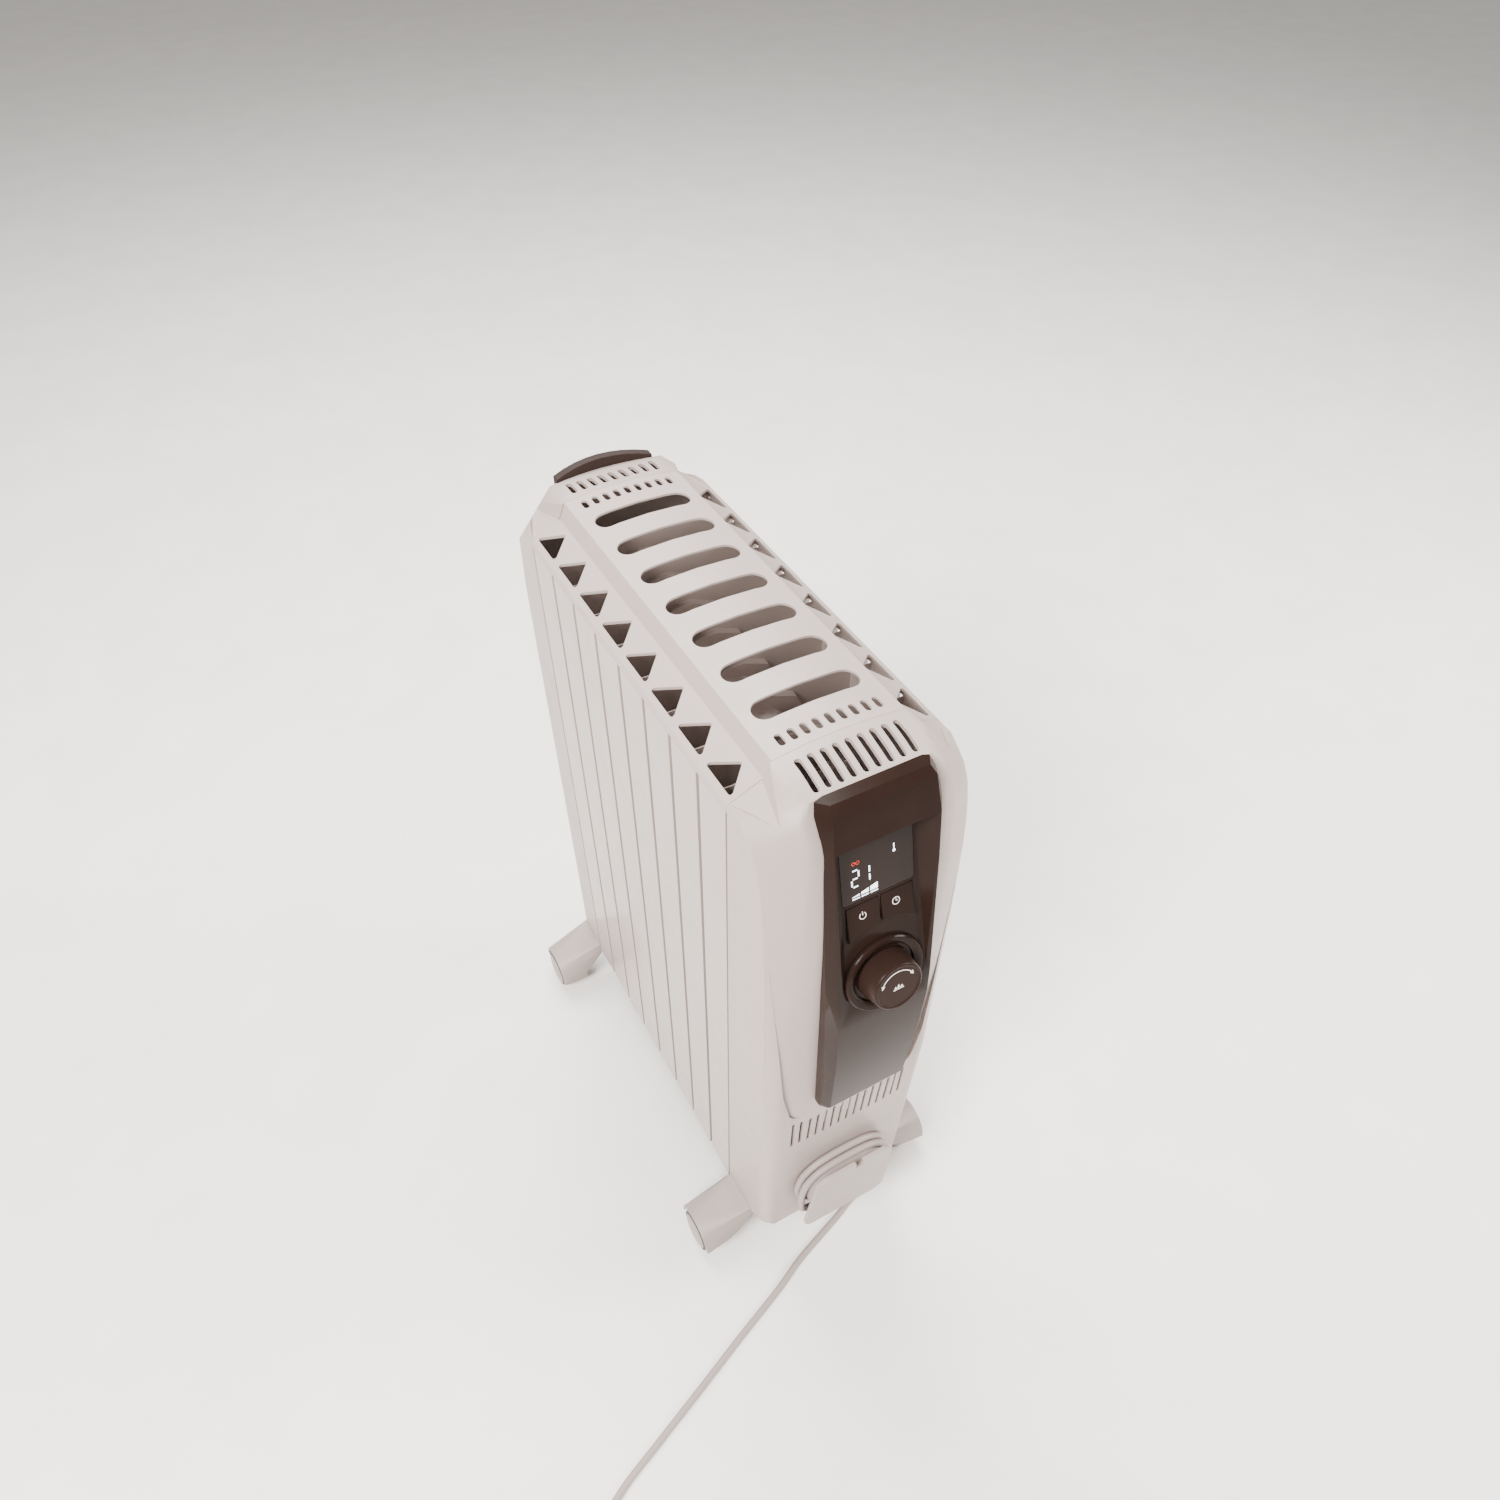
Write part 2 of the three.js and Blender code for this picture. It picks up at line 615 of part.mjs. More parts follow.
function rearHousing() {
  const outer = cut(rearBody(0), rearWedge(1, 0), rearWedge(-1, 0));
  const hollow = cut(rearBody(shellWall), rearWedge(1, shellWall), rearWedge(-1, shellWall));
  const vents = [];
  for (let i = 0; i < rearVentCount; i++) {
    const z = rearVentFoot + i * rearVentPitch;
    const [inner, outer] = [stackHalf + 20, stackHalf + rearDepth + 5];
    vents.push(box(-rearVentHalf, rearVentHalf, inner, outer, z, z + rearVentHeight));
  }
  const top = louvres(stackHalf + louvreInset, rearLouvre, shoulderTop - 10, crownTop + 5);
  return cut(outer, hollow, gripBar(fit), ...top, ...vents);
}
add("rear_housing", rearHousing(), casing);
add("rear_grip", gripBar(0), satinBrown);
const rearShieldY = -seamY + fit + 2;
const rearShield = box(-shieldHalf, shieldHalf, rearShieldY, rearShieldY + steel, shieldFoot, shieldTop);
add("rear_heat_shield", rearShield, bareSteel);

// ---- Control panel ----
// The panel's own frame: its face is at y = 0, +Y goes into the heater and +Z up the panel.
const panel = new THREE.Group();
panel.position.set(0, panelY, knobHeight);
panel.rotation.x = -panelTilt;
panel.updateMatrix();
body.add(panel);
const onPanel = (geometry) => geometry.applyMatrix4(panel.matrix);

function panelPoint(depth, up) {
  const point = vec(0, depth, up).applyMatrix4(panel.matrix);
  return [point.y, point.z];
}

// Outlines of the bezel seen from the side: [depth in front of the seam, drop below the ridge].
// The pocket's upper edge meets the bezel's face at the brow, its lower edge at the heel.
const brow = [62.9, 33.8];
const heel = [90.5, 207.5];
const crestLine = [
  [38.5, 2.5], [48, 2.5], [54.2, 7], brow, [70, 72.5], [76, 112.5],
  [82, 152.5], [87, 182.5], heel, [91.5, 262.5], [89.5, bezelLength - 8], [86, bezelLength - 1],
];
const rimLine = [
  [39, 5], [43.6, 11.5], [50.4, 19.5], [55, 29.5], [59.4, 49.5], [64, 78.5], [69, 111.5],
  [77, 165.5], [80.4, 220.5], [82.5, 297.5], [82.5, bezelLength - 8], [80, bezelLength],
];

function bezelWidth(drop) {
  const taper = Math.max(0, (drop - knobDrop) / (bezelLength - knobDrop));
  const corner = Math.max(0, 12 - drop) * 0.4;
  return bezelHalf - (bezelHalf - bezelFootHalf) * taper - corner;
}

function bezelBlock() {
  const crest = crestLine.map(([d, drop]) => [bezelWidth(drop) - 5, seamY - d, ridgeTop - drop]);
  const rim = rimLine.map(([d, drop]) => [bezelWidth(drop), seamY - d, ridgeTop - drop]);
  const back = [8, knobDrop, bezelLength].map((drop) => [bezelWidth(drop), seamY - 20, ridgeTop - drop]);
  return hull(mirrored([...crest, ...rim, ...back]));
}

function behindSeat() {
  const seat = curveThrough(seatLine).getPoints(24).map(({ y, z }) => [seamY - y - 2 * fit, z + fit]);
  const [nearest, lowest] = [seat[0], seat.at(-1)];
  const back = seamY + 20;
  const shape = [
    [back, crownTop + 40], [nearest[0], crownTop + 40], ...seat,
    [lowest[0], scoopBottom - 10], [back, scoopBottom - 10],
  ];
  return prism(outline(shape), "x", -bodyHalf, bodyHalf);
}

function pocket() {
  const floor = [[panelHalf, panelFoot], [panelHalf, panelTop]].map(([x, up]) => [x, ...panelPoint(0, up)]);
  const [edge, top] = [seamY - brow[0] - 0.6, ridgeTop - brow[1]];
  const upper = [[pocketHalf, edge, top], [pocketHalf, edge - 8, top]];
  const lower = [pocketHalf - 3, seamY - heel[0] - 5, ridgeTop - heel[1] - 2];
  return hull(mirrored([...floor, ...upper, lower]));
}

function bezelHollow() {
  const back = seamY - 10;
  const front = seamY - heel[0] + panelWall + 1;
  const shape = [
    panelPoint(panelWall, panelTop + 8), panelPoint(panelWall, panelFoot + 6), [front, ridgeTop - heel[1] - 8],
    [front, openingBottom], [back, openingBottom], [back, panelPoint(panelWall, panelTop + 8)[1]],
  ];
  return prism(outline(shape), "x", 2.5 - openingHalf, openingHalf - 2.5);
}

// A button's outline. Its lower edge follows the ring round the knob.
function buttonOutline(side, grow) {
  const inner = buttonSide - grow;
  const outer = buttonSide + buttonWidth + grow;
  const points = [];
  const steps = 5;
  for (let i = 0; i <= steps; i++) {
    const x = inner + ((outer - inner) * i) / steps;
    points.push([side * x, Math.sqrt((buttonArc - grow) ** 2 - x ** 2)]);
  }
  return outline([...points, [side * outer, buttonTop + grow], [side * inner, buttonTop + grow]]);
}

function windowRecess() {
  const rim = rounded(rectangle(-windowHalf - fit, windowHalf + fit, windowFoot - fit, windowTop + fit), 2, 2);
  return joined(
    prism(rim, "y", -2, glassThickness + fit),
    box(-moduleHalf - fit, moduleHalf + fit, 0, panelWall + 2, moduleFoot - fit, moduleTop + fit),
  );
}

function bezel() {
  const block = bezelBlock();
  const tub = onPanel(box(-openingHalf + 0.5, openingHalf - 0.5, -40, panelWall, panelFoot, panelTop + 3.5));
  const solid = joined(cut(block, behindSeat()), common(block, tub));
  const holes = [
    rod("y", ringRadius + fit, -40, 0, 32),
    rod("y", bushRadius + fit, -5, panelWall + 2),
    windowRecess(),
    prism(buttonOutline(1, slack), "y", -5, panelWall + 2),
    prism(buttonOutline(-1, slack), "y", -5, panelWall + 2),
  ];
  return cut(solid, bezelHollow(), pocket(), ...holes.map(onPanel));
}
add("bezel", bezel(), glossBrown);

const glass = rounded(rectangle(-windowHalf, windowHalf, windowFoot, windowTop), 2, 2);
add("display_window", prism(glass, "y", 0, glassThickness), lamp, panel);
const moduleBox = box(-moduleHalf, moduleHalf, glassThickness + 2 * fit, boardDepth - fit, moduleFoot, moduleTop);
add("display_module", moduleBox, finish(0x20242c, 0.3), panel);
const controlBoard = box(-34, 34, boardDepth, boardDepth + boardThickness, panelFoot, panelTop - 4);
add("control_board", controlBoard, board, panel);

function button(side) {
  const stop = panelWall + fit;
  const flange = sideBox(side, 4, buttonSide + buttonWidth + 1.6, stop, stop + 1, 52, buttonTop + 1.6);
  const foot = rod("y", 3, stop, boardDepth - switchHeight - buttonTravel - fit);
  const slope = [[-buttonTopRise, buttonTop], [-buttonRise, 41], [stop + 1, 41], [stop + 1, buttonTop]];
  const cap = common(
    prism(buttonOutline(side, 0), "y", -buttonRise, stop + 1),
    prism(outline(slope), "x", -buttonArc, buttonArc),
  );
  return joined(cap, flange, foot.translate(side * buttonMiddle, 0, 56));
}

// A button, its sprung foot over a tactile switch, and the flange that keeps it in its hole.
add("power_button", button(-1), glossBrown, panel);
add("timer_button", button(1), glossBrown, panel);
for (const [name, side] of [["power_switch", -1], ["timer_switch", 1]]) {
  const x = side * buttonMiddle;
  const body = box(x - 3, x + 3, boardDepth - switchHeight, boardDepth - fit, 53, 59);
  add(name, body, lamp, panel);
}

const outward = (geometry) => geometry.rotateX(Math.PI / 2);
const ringProfile = [
  [ringBore, fit], [ringRadius, fit], [ringRadius, ringRise - 1.5], [ringRadius - 1.2, ringRise],
  [ringRadius - 4, ringRise], [ringBore, ringRise - 2], [ringBore, fit],
];
add("knob_ring", outward(turned(ringProfile, 32)), glossBrown, panel);

const shaftReach = 14;
const knobBase = 0.9;
const knobProfile = [
  [0, shaftReach + fit], [shaftRadius + fit, shaftReach + fit], [shaftRadius + fit, knobBase],
  [knobRadius - 1.5, knobBase], [knobRadius, knobBase + 1.5], [knobFace + 0.4, knobRise - 1.6],
  [knobFace - 1, knobRise], [knobFace - 2, knobRise], [knobFace - 2.7, knobRise - 0.7], [0, knobRise - 0.7],
];
add("knob", outward(turned(knobProfile, 36)), glossBrown, panel);
const encoderBody = joined(
  box(-7, 7, panelWall + fit, boardDepth - fit, -7, 7),
  rod("y", bushRadius, -0.4, panelWall + 1),
);
const encoderBore = rod("y", shaftRadius + fit, -2, boardDepth - 1.5);
add("encoder", cut(encoderBody, encoderBore), bareSteel, panel);
add("encoder_shaft", rod("y", shaftRadius, -shaftReach, boardDepth - 2), bareSteel, panel);

// A thermistor in a clip reads the room's air behind the front vents.
add("room_sensor", box(30, 38, faceY + 5.6, faceY + 15, ventBottom - 30, ventBottom - 12), lamp);

// ---- Feet ----
// Each end stands on a bracket with an arm over each wheel; the arm ends in an arched hood.
const wheelInner = wheelOuter - wheelWidth;
const axleFoot = wheelInner - 12;
const hoodRadius = wheelRadius + hoodGap;
const bracketTop = housingBottom - fit;

// Points on the upper half of a hood's outline at a place across the heater.
function hoodArch(x, radius) {
  const points = [];
  const steps = 10;
  for (let i = 0; i <= steps; i++) {
    const a = (Math.PI * i) / steps;
    points.push([x, radius * Math.cos(a), wheelRadius + radius * Math.sin(a)]);
  }
  return points;
}

function footBracket() {
  const half = footWidth / 2;
  const bar = box(-bodyHalf, bodyHalf, 2 - half, half - 2, bracketTop - 9, bracketTop);
  const arms = [-1, 1].map((side) => {
    const inner = side * (bodyHalf - 6);
    const root = [[inner, half - 1, bracketTop - 0.5], [inner, half - 1, bracketTop - 12]];
    const brim = hoodArch(side * wheelOuter, hoodRadius + hoodWall);
    const neck = hoodArch(side * (wheelInner + 4), hoodRadius + hoodWall - 3);
    const arm = hull([...root, ...root.map(([x, y, z]) => [x, -y, z]), ...brim, ...neck]);
    const wellEnds = [side * (wheelInner - 2), side * (wheelOuter + 5)].sort((a, b) => a - b);
    const well = rod("x", hoodRadius, ...wellEnds, 32);
    const cheekLine = [[-13, bracketTop - 6], [-9, wheelRadius - 9], [9, wheelRadius - 9], [13, bracketTop - 6]];
    const ends = [side * axleFoot, side * (axleFoot + 5)].sort((a, b) => a - b);
    const cheek = prism(rounded(cheekLine, 7, 3), "x", ...ends);
    return joined(cut(arm, well.translate(0, 0, wheelRadius)), cheek);
  });
  const span = wheelOuter + 5;
  const axleHole = rod("x", axleRadius + fit, -span, span).translate(0, 0, wheelRadius);
  return cut(joined(bar, ...arms), axleHole);
}

const wheelProfile = [
  [0, wheelWidth - 8], [axleRadius + slack, wheelWidth - 8], [axleRadius + slack, 0], [wheelRadius - 3, 0],
  [wheelRadius, 3], [wheelRadius, wheelWidth - 4], [wheelRadius - 1.5, wheelWidth],
  [wheelRadius - 3.5, wheelWidth],
  [wheelRadius - 4, wheelWidth + 0.8], [wheelRadius - 11, wheelWidth + capDome - 0.4],
  [0, wheelWidth + capDome],
];
const axleProfile = [
  [0, -4.3], [axleRadius + 3, -4.3], [axleRadius + 3, -fit], [axleRadius, -fit],
  [axleRadius, wheelInner - axleFoot + wheelWidth - 9], [0, wheelInner - axleFoot + wheelWidth - 9],
];
const sideways = (geometry) => geometry.rotateY(Math.PI / 2);
const wheelGeometry = sideways(turned(wheelProfile, 32));
const axleGeometry = sideways(turned(axleProfile, 12));
for (const [end, sign] of [["front", -1], ["rear", 1]]) {
  add(`${end}_foot`, footBracket(), greyPlastic).position.y = sign * axleY;
  for (const [hand, side] of [["left", -1], ["right", 1]]) {
    const wheel = add(`wheel_${end}_${hand}`, wheelGeometry, greyPlastic);
    wheel.position.set(side * wheelInner, sign * axleY, wheelRadius);
    const axle = add(`axle_${end}_${hand}`, axleGeometry, bareSteel);
    axle.position.set(side * axleFoot, sign * axleY, wheelRadius);
    wheel.rotation.z = side < 0 ? Math.PI : 0;
    axle.rotation.z = wheel.rotation.z;
  }
}

// ---- Cord wrap ----
const coreMiddle = coreBottom + coreHeight / 2;

function wrapOutline(grow) {
  const half = coreWidth / 2 + grow;
  return rounded(rectangle(-half, half, coreBottom - grow, coreBottom + coreHeight + grow), coreCorner + grow, 4);
}

// The plate and the core's outer end lean outwards together.
function tipped(geometry) {
  return geometry.translate(0, -plateBack, -plateBottom).rotateX(plateTip).translate(0, plateBack, plateBottom);
}

// The core is a ring with its lower left corner left open for the cord.
function wrapCore() {
  const wall = 3;
  const [back, front] = [faceY - fit, faceY - 2 * coreDepth];
  const bore = prism(wrapOutline(-wall), "y", front - 1, back + 1);
  const ring = cut(prism(wrapOutline(0), "y", front, back), bore);
  const gap = box(-coreWidth / 2 - 1, -4, front - 1, back + 1, coreBottom - 1, coreMiddle + 3);
  const [ahead, behind] = [plateBack - 2 * coreDepth, plateBack + fit];
  const beyond = box(-coreWidth, coreWidth, ahead, behind, coreBottom - 20, plateTop + 20);
  return cut(ring, gap, tipped(beyond));
}
add("cord_wrap_core", wrapCore(), greyPlastic);

function wrapPlate() {
  const corners = [
    [-plateFootHalf, plateBottom], [plateFootHalf, plateBottom], [plateTopHalf, plateTop], [-plateTopHalf, plateTop],
  ];
  const plate = prism(rounded(corners, 13, 4), "y", plateBack - plateThickness, plateBack);
  return tipped(cut(plate, box(0, 8, plateBack - 10, plateBack + 1, plateTop - 10, plateTop + 1)));
}
add("cord_wrap_plate", wrapPlate(), palePlastic);

// ---- Cord ----
// The cord comes out through a gland inside the core, winds round it, runs along the floor and ends in
// a coil with the plug beside it.
const lead = new THREE.Group();
heater.add(lead);
const cordRadius = cordDiameter / 2;
const firstTurn = faceY - fit - cordRadius - 0.6;
const lastTurn = plateBack + fit + cordRadius + 0.2;
const reliefY = (faceY + plateBack) / 2;
const exitAngle = (7 * Math.PI) / 6; // the cord leaves to the left and down
const exitAlong = vec(Math.cos(exitAngle), 0, Math.sin(exitAngle));
const reliefEnd = vec(glandX, reliefY, glandZ).addScaledVector(exitAlong, reliefLength);

function strainRelief() {
  const outer = [[glandRadius, 0], [glandRadius - 0.5, 4], [cordRadius + 1, reliefLength]];
  const sleeve = turned([[0, 0], ...outer, [0, reliefLength]], 12);
  sleeve.applyQuaternion(new THREE.Quaternion().setFromUnitVectors(vec(0, 0, 1), exitAlong));
  sleeve.translate(glandX, reliefY, glandZ);
  const gland = rod("y", glandRadius, reliefY - 2, faceY + 7, 12).translate(glandX, 0, glandZ);
  return joined(sleeve, gland);
}
add("cord_strain_relief", strainRelief(), palePlastic);

const wrapHalf = coreWidth / 2 + cordRadius + wrapGap;
const wrapRise = coreHeight / 2 + cordRadius + wrapGap;
const wrapCorner = coreCorner + cordRadius + wrapGap;

const leadRun = 3; // straight length between the relief and the bend into the first turn

function corner([across, up, angle, fromY, toY]) {
  const points = [];
  const steps = 3;
  for (let i = 0; i <= steps; i++) {
    const a = THREE.MathUtils.degToRad(angle - (90 * i) / steps);
    points.push([
      across * (wrapHalf - wrapCorner) + wrapCorner * Math.cos(a),
      fromY + ((toY - fromY) * i) / steps,
      coreMiddle + up * (wrapRise - wrapCorner) + wrapCorner * Math.sin(a),
    ]);
  }
  return points;
}

function windingPath() {
  const start = reliefEnd.clone().addScaledVector(exitAlong, fit);
  const side = vec(exitAlong.z, 0, -exitAlong.x);
  const leadIn = (wrapHalf + start.x + leadRun * exitAlong.x) / (1 - side.x);
  const centre = start.clone().addScaledVector(exitAlong, leadRun).addScaledVector(side, leadIn);
  const points = [start.toArray()];
  const steps = 4;
  for (let i = 0; i <= steps; i++) {
    const a = exitAngle + Math.PI / 2 - ((exitAngle - Math.PI / 2) * i) / steps;
    const y = reliefY + ((firstTurn - reliefY) * i) / steps;
    points.push([centre.x + leadIn * Math.cos(a), y, centre.z + leadIn * Math.sin(a)]);
  }
  const crossing = firstTurn + (lastTurn - firstTurn) / 3;
  const turns = [
    [-1, 1, 180, firstTurn, firstTurn], [1, 1, 90, firstTurn, firstTurn], [1, -1, 0, firstTurn, crossing],
    [-1, -1, -90, crossing, lastTurn], [-1, 1, 180, lastTurn, lastTurn], [1, 1, 90, lastTurn, lastTurn],
  ];
  return [...points, ...turns.flatMap(corner), [wrapHalf, lastTurn, coreMiddle]];
}
add("cord_winding", tube(windingPath(), cordRadius, cordSides, windingSteps), greyPlastic, lead);

// The route down to the floor and along it, from the end of the winding to the coil, as
// [across, distance in front of the housing's face, height].
const floorRest = cordRadius + 0.1;
const drop = [[47, 7.5, 58], [43, 2, 33], [36, -2, 14], [26, -1, 5.2], [16, 2.8, floorRest]];
const along = [
  [5.7, 6.7], [-17.9, 14.5], [-51.2, 26], [-86.5, 41.5], [-143.7, 63.4], [-201.2, 86.3], [-258, 108.5],
  [-306, 128], [-345, 152],
];
const laid = [...drop, ...along.map(([x, out]) => [x, out, floorRest])];
const route = [
  [wrapHalf, lastTurn, coreMiddle - fit], [wrapHalf + 1.5, lastTurn, coreMiddle - 26],
  [wrapHalf + 1, lastTurn + 1, coreMiddle - 50], ...laid.map(([x, out, z]) => [x, faceY - out, z]),
];
add("cord_run", tube(route, cordRadius, cordSides, runSteps), greyPlastic, lead);

function coil() {
  const corners = rectangle(coilTurnRadius - coilSection / 2, coilTurnRadius + coilSection / 2, 0, coilSection);
  const section = rounded(corners, cordRadius, 2).getPoints();
  return new THREE.LatheGeometry([...section, section[0]], 32).rotateX(Math.PI / 2);
}
// The run meets the coil's outer turn as a tangent.
const arrival = vec(...route.at(-1)).sub(vec(...route.at(-2))).normalize();
const inwards = vec(-arrival.y, arrival.x, 0);
const coilOuter = coilTurnRadius + coilSection / 2;
const coilSpot = vec(...route.at(-1))
  .addScaledVector(arrival, Math.sqrt(coilOuter ** 2 - coilTurnRadius ** 2) + 2 * fit)
  .addScaledVector(inwards, coilTurnRadius + cordRadius);
add("cord_coil", coil(), greyPlastic, lead).position.set(coilSpot.x, coilSpot.y, 0);

// The plug lies beside the coil, its two pins pointing away along +X.
function plug() {
  const shell = turned([
    [0, 0], [cordRadius + 1, 0], [cordRadius + 3, 16], [plugRadius - 3, 22], [plugRadius, 28],
    [plugRadius, 16 + plugLength], [plugRadius - 1, 17 + plugLength], [0, 17 + plugLength],
  ], 16);
  const pins = [-1, 1].map((side) =>
    rod("z", pinRadius, 15 + plugLength, 17 + plugLength + pinLength, 10)
      .translate(0, (side * pinSpacing) / 2, 0));
  return sideways(joined(shell, ...pins));
}
const plugSpot = vec(coilSpot.x - 10, coilSpot.y - coilOuter - plugRadius - 3, plugRadius);
add("plug", plug(), greyPlastic, lead).position.copy(plugSpot);

// The heater without its cord is centred on the origin.
const extent = new THREE.Box3().setFromObject(body, true);
heater.position.y = -(extent.min.y + extent.max.y) / 2;

export default heater;
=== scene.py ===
"""Looks of an oil filled radiator heater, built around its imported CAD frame."""

import json
import math

import bmesh
import bpy
from bpy.props import FloatProperty, FloatVectorProperty, IntProperty, PointerProperty
from mathutils import Matrix, Vector


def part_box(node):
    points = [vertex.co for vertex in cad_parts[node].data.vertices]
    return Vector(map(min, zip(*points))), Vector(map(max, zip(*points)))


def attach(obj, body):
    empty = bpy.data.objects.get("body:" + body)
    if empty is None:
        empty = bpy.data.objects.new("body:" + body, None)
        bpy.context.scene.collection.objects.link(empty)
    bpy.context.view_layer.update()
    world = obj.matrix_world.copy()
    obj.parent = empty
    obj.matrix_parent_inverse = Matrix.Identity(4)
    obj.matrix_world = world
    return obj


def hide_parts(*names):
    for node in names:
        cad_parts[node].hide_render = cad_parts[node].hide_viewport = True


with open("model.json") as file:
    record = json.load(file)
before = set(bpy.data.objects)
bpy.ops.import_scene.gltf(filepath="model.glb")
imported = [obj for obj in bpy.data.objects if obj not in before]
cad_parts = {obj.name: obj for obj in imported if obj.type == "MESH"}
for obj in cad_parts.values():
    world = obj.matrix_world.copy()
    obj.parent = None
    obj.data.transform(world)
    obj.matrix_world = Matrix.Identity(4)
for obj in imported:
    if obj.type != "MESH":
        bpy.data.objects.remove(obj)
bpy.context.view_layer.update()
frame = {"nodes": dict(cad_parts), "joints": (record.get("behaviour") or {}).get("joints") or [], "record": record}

bl_info = {
    "name": "Oil Filled Radiator",
    "version": (1, 0, 0),
    "blender": (4, 5, 0),
    "location": "View3D > Sidebar > Radiator",
    "description": "Builds the visible pieces and finishes of an oil filled radiator heater",
    "category": "Object",
}

MM = 0.001
NODE_SLOT = {part["node"]: part["material_slot"] for part in frame["record"]["subparts"]}
BODY_OF = {n: body for body, nodes in frame["record"]["behaviour"]["bodies"].items() for n in nodes}
JOINTS = {joint["name"]: joint for joint in frame["joints"]}
ROW_Y = (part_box("fin_1")[0].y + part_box("fin_8")[1].y) / 2

# The control panel's frame: +X across, +Y into the heater, +Z up the panel, from the knob's axis.
PANEL_OUT = Vector(JOINTS["knob_turn"]["axis"]).normalized()
PANEL_UP = Vector((1, 0, 0)).cross(-PANEL_OUT)
PANEL_TURN = Matrix((
    (1, -PANEL_OUT.x, PANEL_UP.x, 0),
    (0, -PANEL_OUT.y, PANEL_UP.y, 0),
    (0, -PANEL_OUT.z, PANEL_UP.z, 0),
    (0, 0, 0, 1),
))
PANEL = Matrix.Translation(Vector(JOINTS["knob_turn"]["pos_m"])) @ PANEL_TURN

# The camera, in metres and degrees; its place along the row is measured from the row's middle.
CAMERA_SPOT = Vector((-0.2948, -0.5623 + ROW_Y, 1.1291))
CAMERA_AZIMUTH, CAMERA_ELEVATION, CAMERA_ROLL = -29.41, 50.12, 0.486
CAMERA_SHIFT = (0.0056, 0.0687)
FLOOR_HALF = 6

# The knob, the printed signs and lit marks, the wheels' caps, the plug's pins and the coil.
KNOB_BASE, KNOB_FACE, KNOB_RISE = 22.3 * MM, 20 * MM, 20 * MM
KNOB_BORE, KNOB_BORE_END = 3.3 * MM, 14.3 * MM
PRINT_THICKNESS = 0.06 * MM
MARK_THICKNESS = 0.08 * MM
CAP_DOME = 3 * MM
PIN_SPACING = 19 * MM
PIN_LENGTH = 19 * MM
COIL_TURN = 38.5 * MM


# ---- Finishes ----


def noise(tree, coords, scale, detail=3.0, stretch=None):
    """Noise on the given coordinates, stretched along an axis where a finish has a direction."""
    source = coords
    if stretch:
        mapping = tree.nodes.new("ShaderNodeMapping")
        mapping.inputs["Scale"].default_value = stretch
        tree.links.new(coords, mapping.inputs["Vector"])
        source = mapping.outputs["Vector"]
    node = tree.nodes.new("ShaderNodeTexNoise")
    node.inputs["Scale"].default_value = scale
    node.inputs["Detail"].default_value = detail
    tree.links.new(source, node.inputs["Vector"])
    return node.outputs["Fac"]


def spread(tree, value, low, high):
    """Spreads a noise's middle range over low to high."""
    node = tree.nodes.new("ShaderNodeMapRange")
    for name, number in (("From Min", 0.3), ("From Max", 0.7), ("To Min", low), ("To Max", high)):
        node.inputs[name].default_value = number
    tree.links.new(value, node.inputs["Value"])
    return node.outputs["Result"]


def finish(name, color, roughness, metallic=0.0, coat=0.0, grain=(1400, 0.08), mottle=(9, 0.03), stretch=None,
           sheen=0.0, dust=0.0, shine=0.45):
    """A finish with slow colour variation, uneven gloss and a fine surface grain."""
    material = bpy.data.materials.new(name)
    material.use_nodes = True
    tree = material.node_tree
    shader = tree.nodes["Principled BSDF"]
    shader.inputs["Metallic"].default_value = metallic
    shader.inputs["Coat Weight"].default_value = coat
    shader.inputs["Coat Roughness"].default_value = 0.06
    shader.inputs["Sheen Weight"].default_value = sheen
    shader.inputs["Specular IOR Level"].default_value = shine
    coords = tree.nodes.new("ShaderNodeTexCoord").outputs["Object"]
    tint = tree.nodes.new("ShaderNodeMix")
    tint.data_type = "RGBA"
    tint.inputs[6].default_value = (*[c * (1 - mottle[1]) for c in color], 1)
    tint.inputs[7].default_value = (*[min(1, c * (1 + mottle[1])) for c in color], 1)
    tree.links.new(spread(tree, noise(tree, coords, mottle[0], stretch=stretch), 0, 1), tint.inputs[0])
    top = tint.outputs[2]
    if dust:
        settle = tree.nodes.new("ShaderNodeMix")
        settle.data_type = "RGBA"
        settle.inputs[7].default_value = (0.55, 0.5, 0.45, 1)
        facing = tree.nodes.new("ShaderNodeSeparateXYZ")
        tree.links.new(tree.nodes.new("ShaderNodeNewGeometry").outputs["Normal"], facing.inputs[0])
        share = tree.nodes.new("ShaderNodeMath")
        share.operation = "MULTIPLY"
        share.use_clamp = True
        tree.links.new(facing.outputs["Z"], share.inputs[0])
        tree.links.new(spread(tree, noise(tree, coords, 60, 5), 0, dust), share.inputs[1])
        tree.links.new(share.outputs[0], settle.inputs[0])
        tree.links.new(top, settle.inputs[6])
        top = settle.outputs[2]
    tree.links.new(top, shader.inputs["Base Color"])
    uneven = noise(tree, coords, 38, 4, stretch)
    tree.links.new(spread(tree, uneven, roughness * 0.88, roughness * 1.14), shader.inputs["Roughness"])
    bump = tree.nodes.new("ShaderNodeBump")
    bump.inputs["Strength"].default_value = grain[1]
    bump.inputs["Distance"].default_value = 0.4 * MM
    tree.links.new(noise(tree, coords, grain[0], 2, stretch), bump.inputs["Height"])
    tree.links.new(bump.outputs["Normal"], shader.inputs["Normal"])
    return material


def glow(name, color, strength):
    """A lit mark on the display, a little uneven as a diffuser makes it."""
    material = finish(name, color, 0.4)
    shader = material.node_tree.nodes["Principled BSDF"]
    shader.inputs["Emission Color"].default_value = (*color, 1)
    shader.inputs["Emission Strength"].default_value = strength
    return material


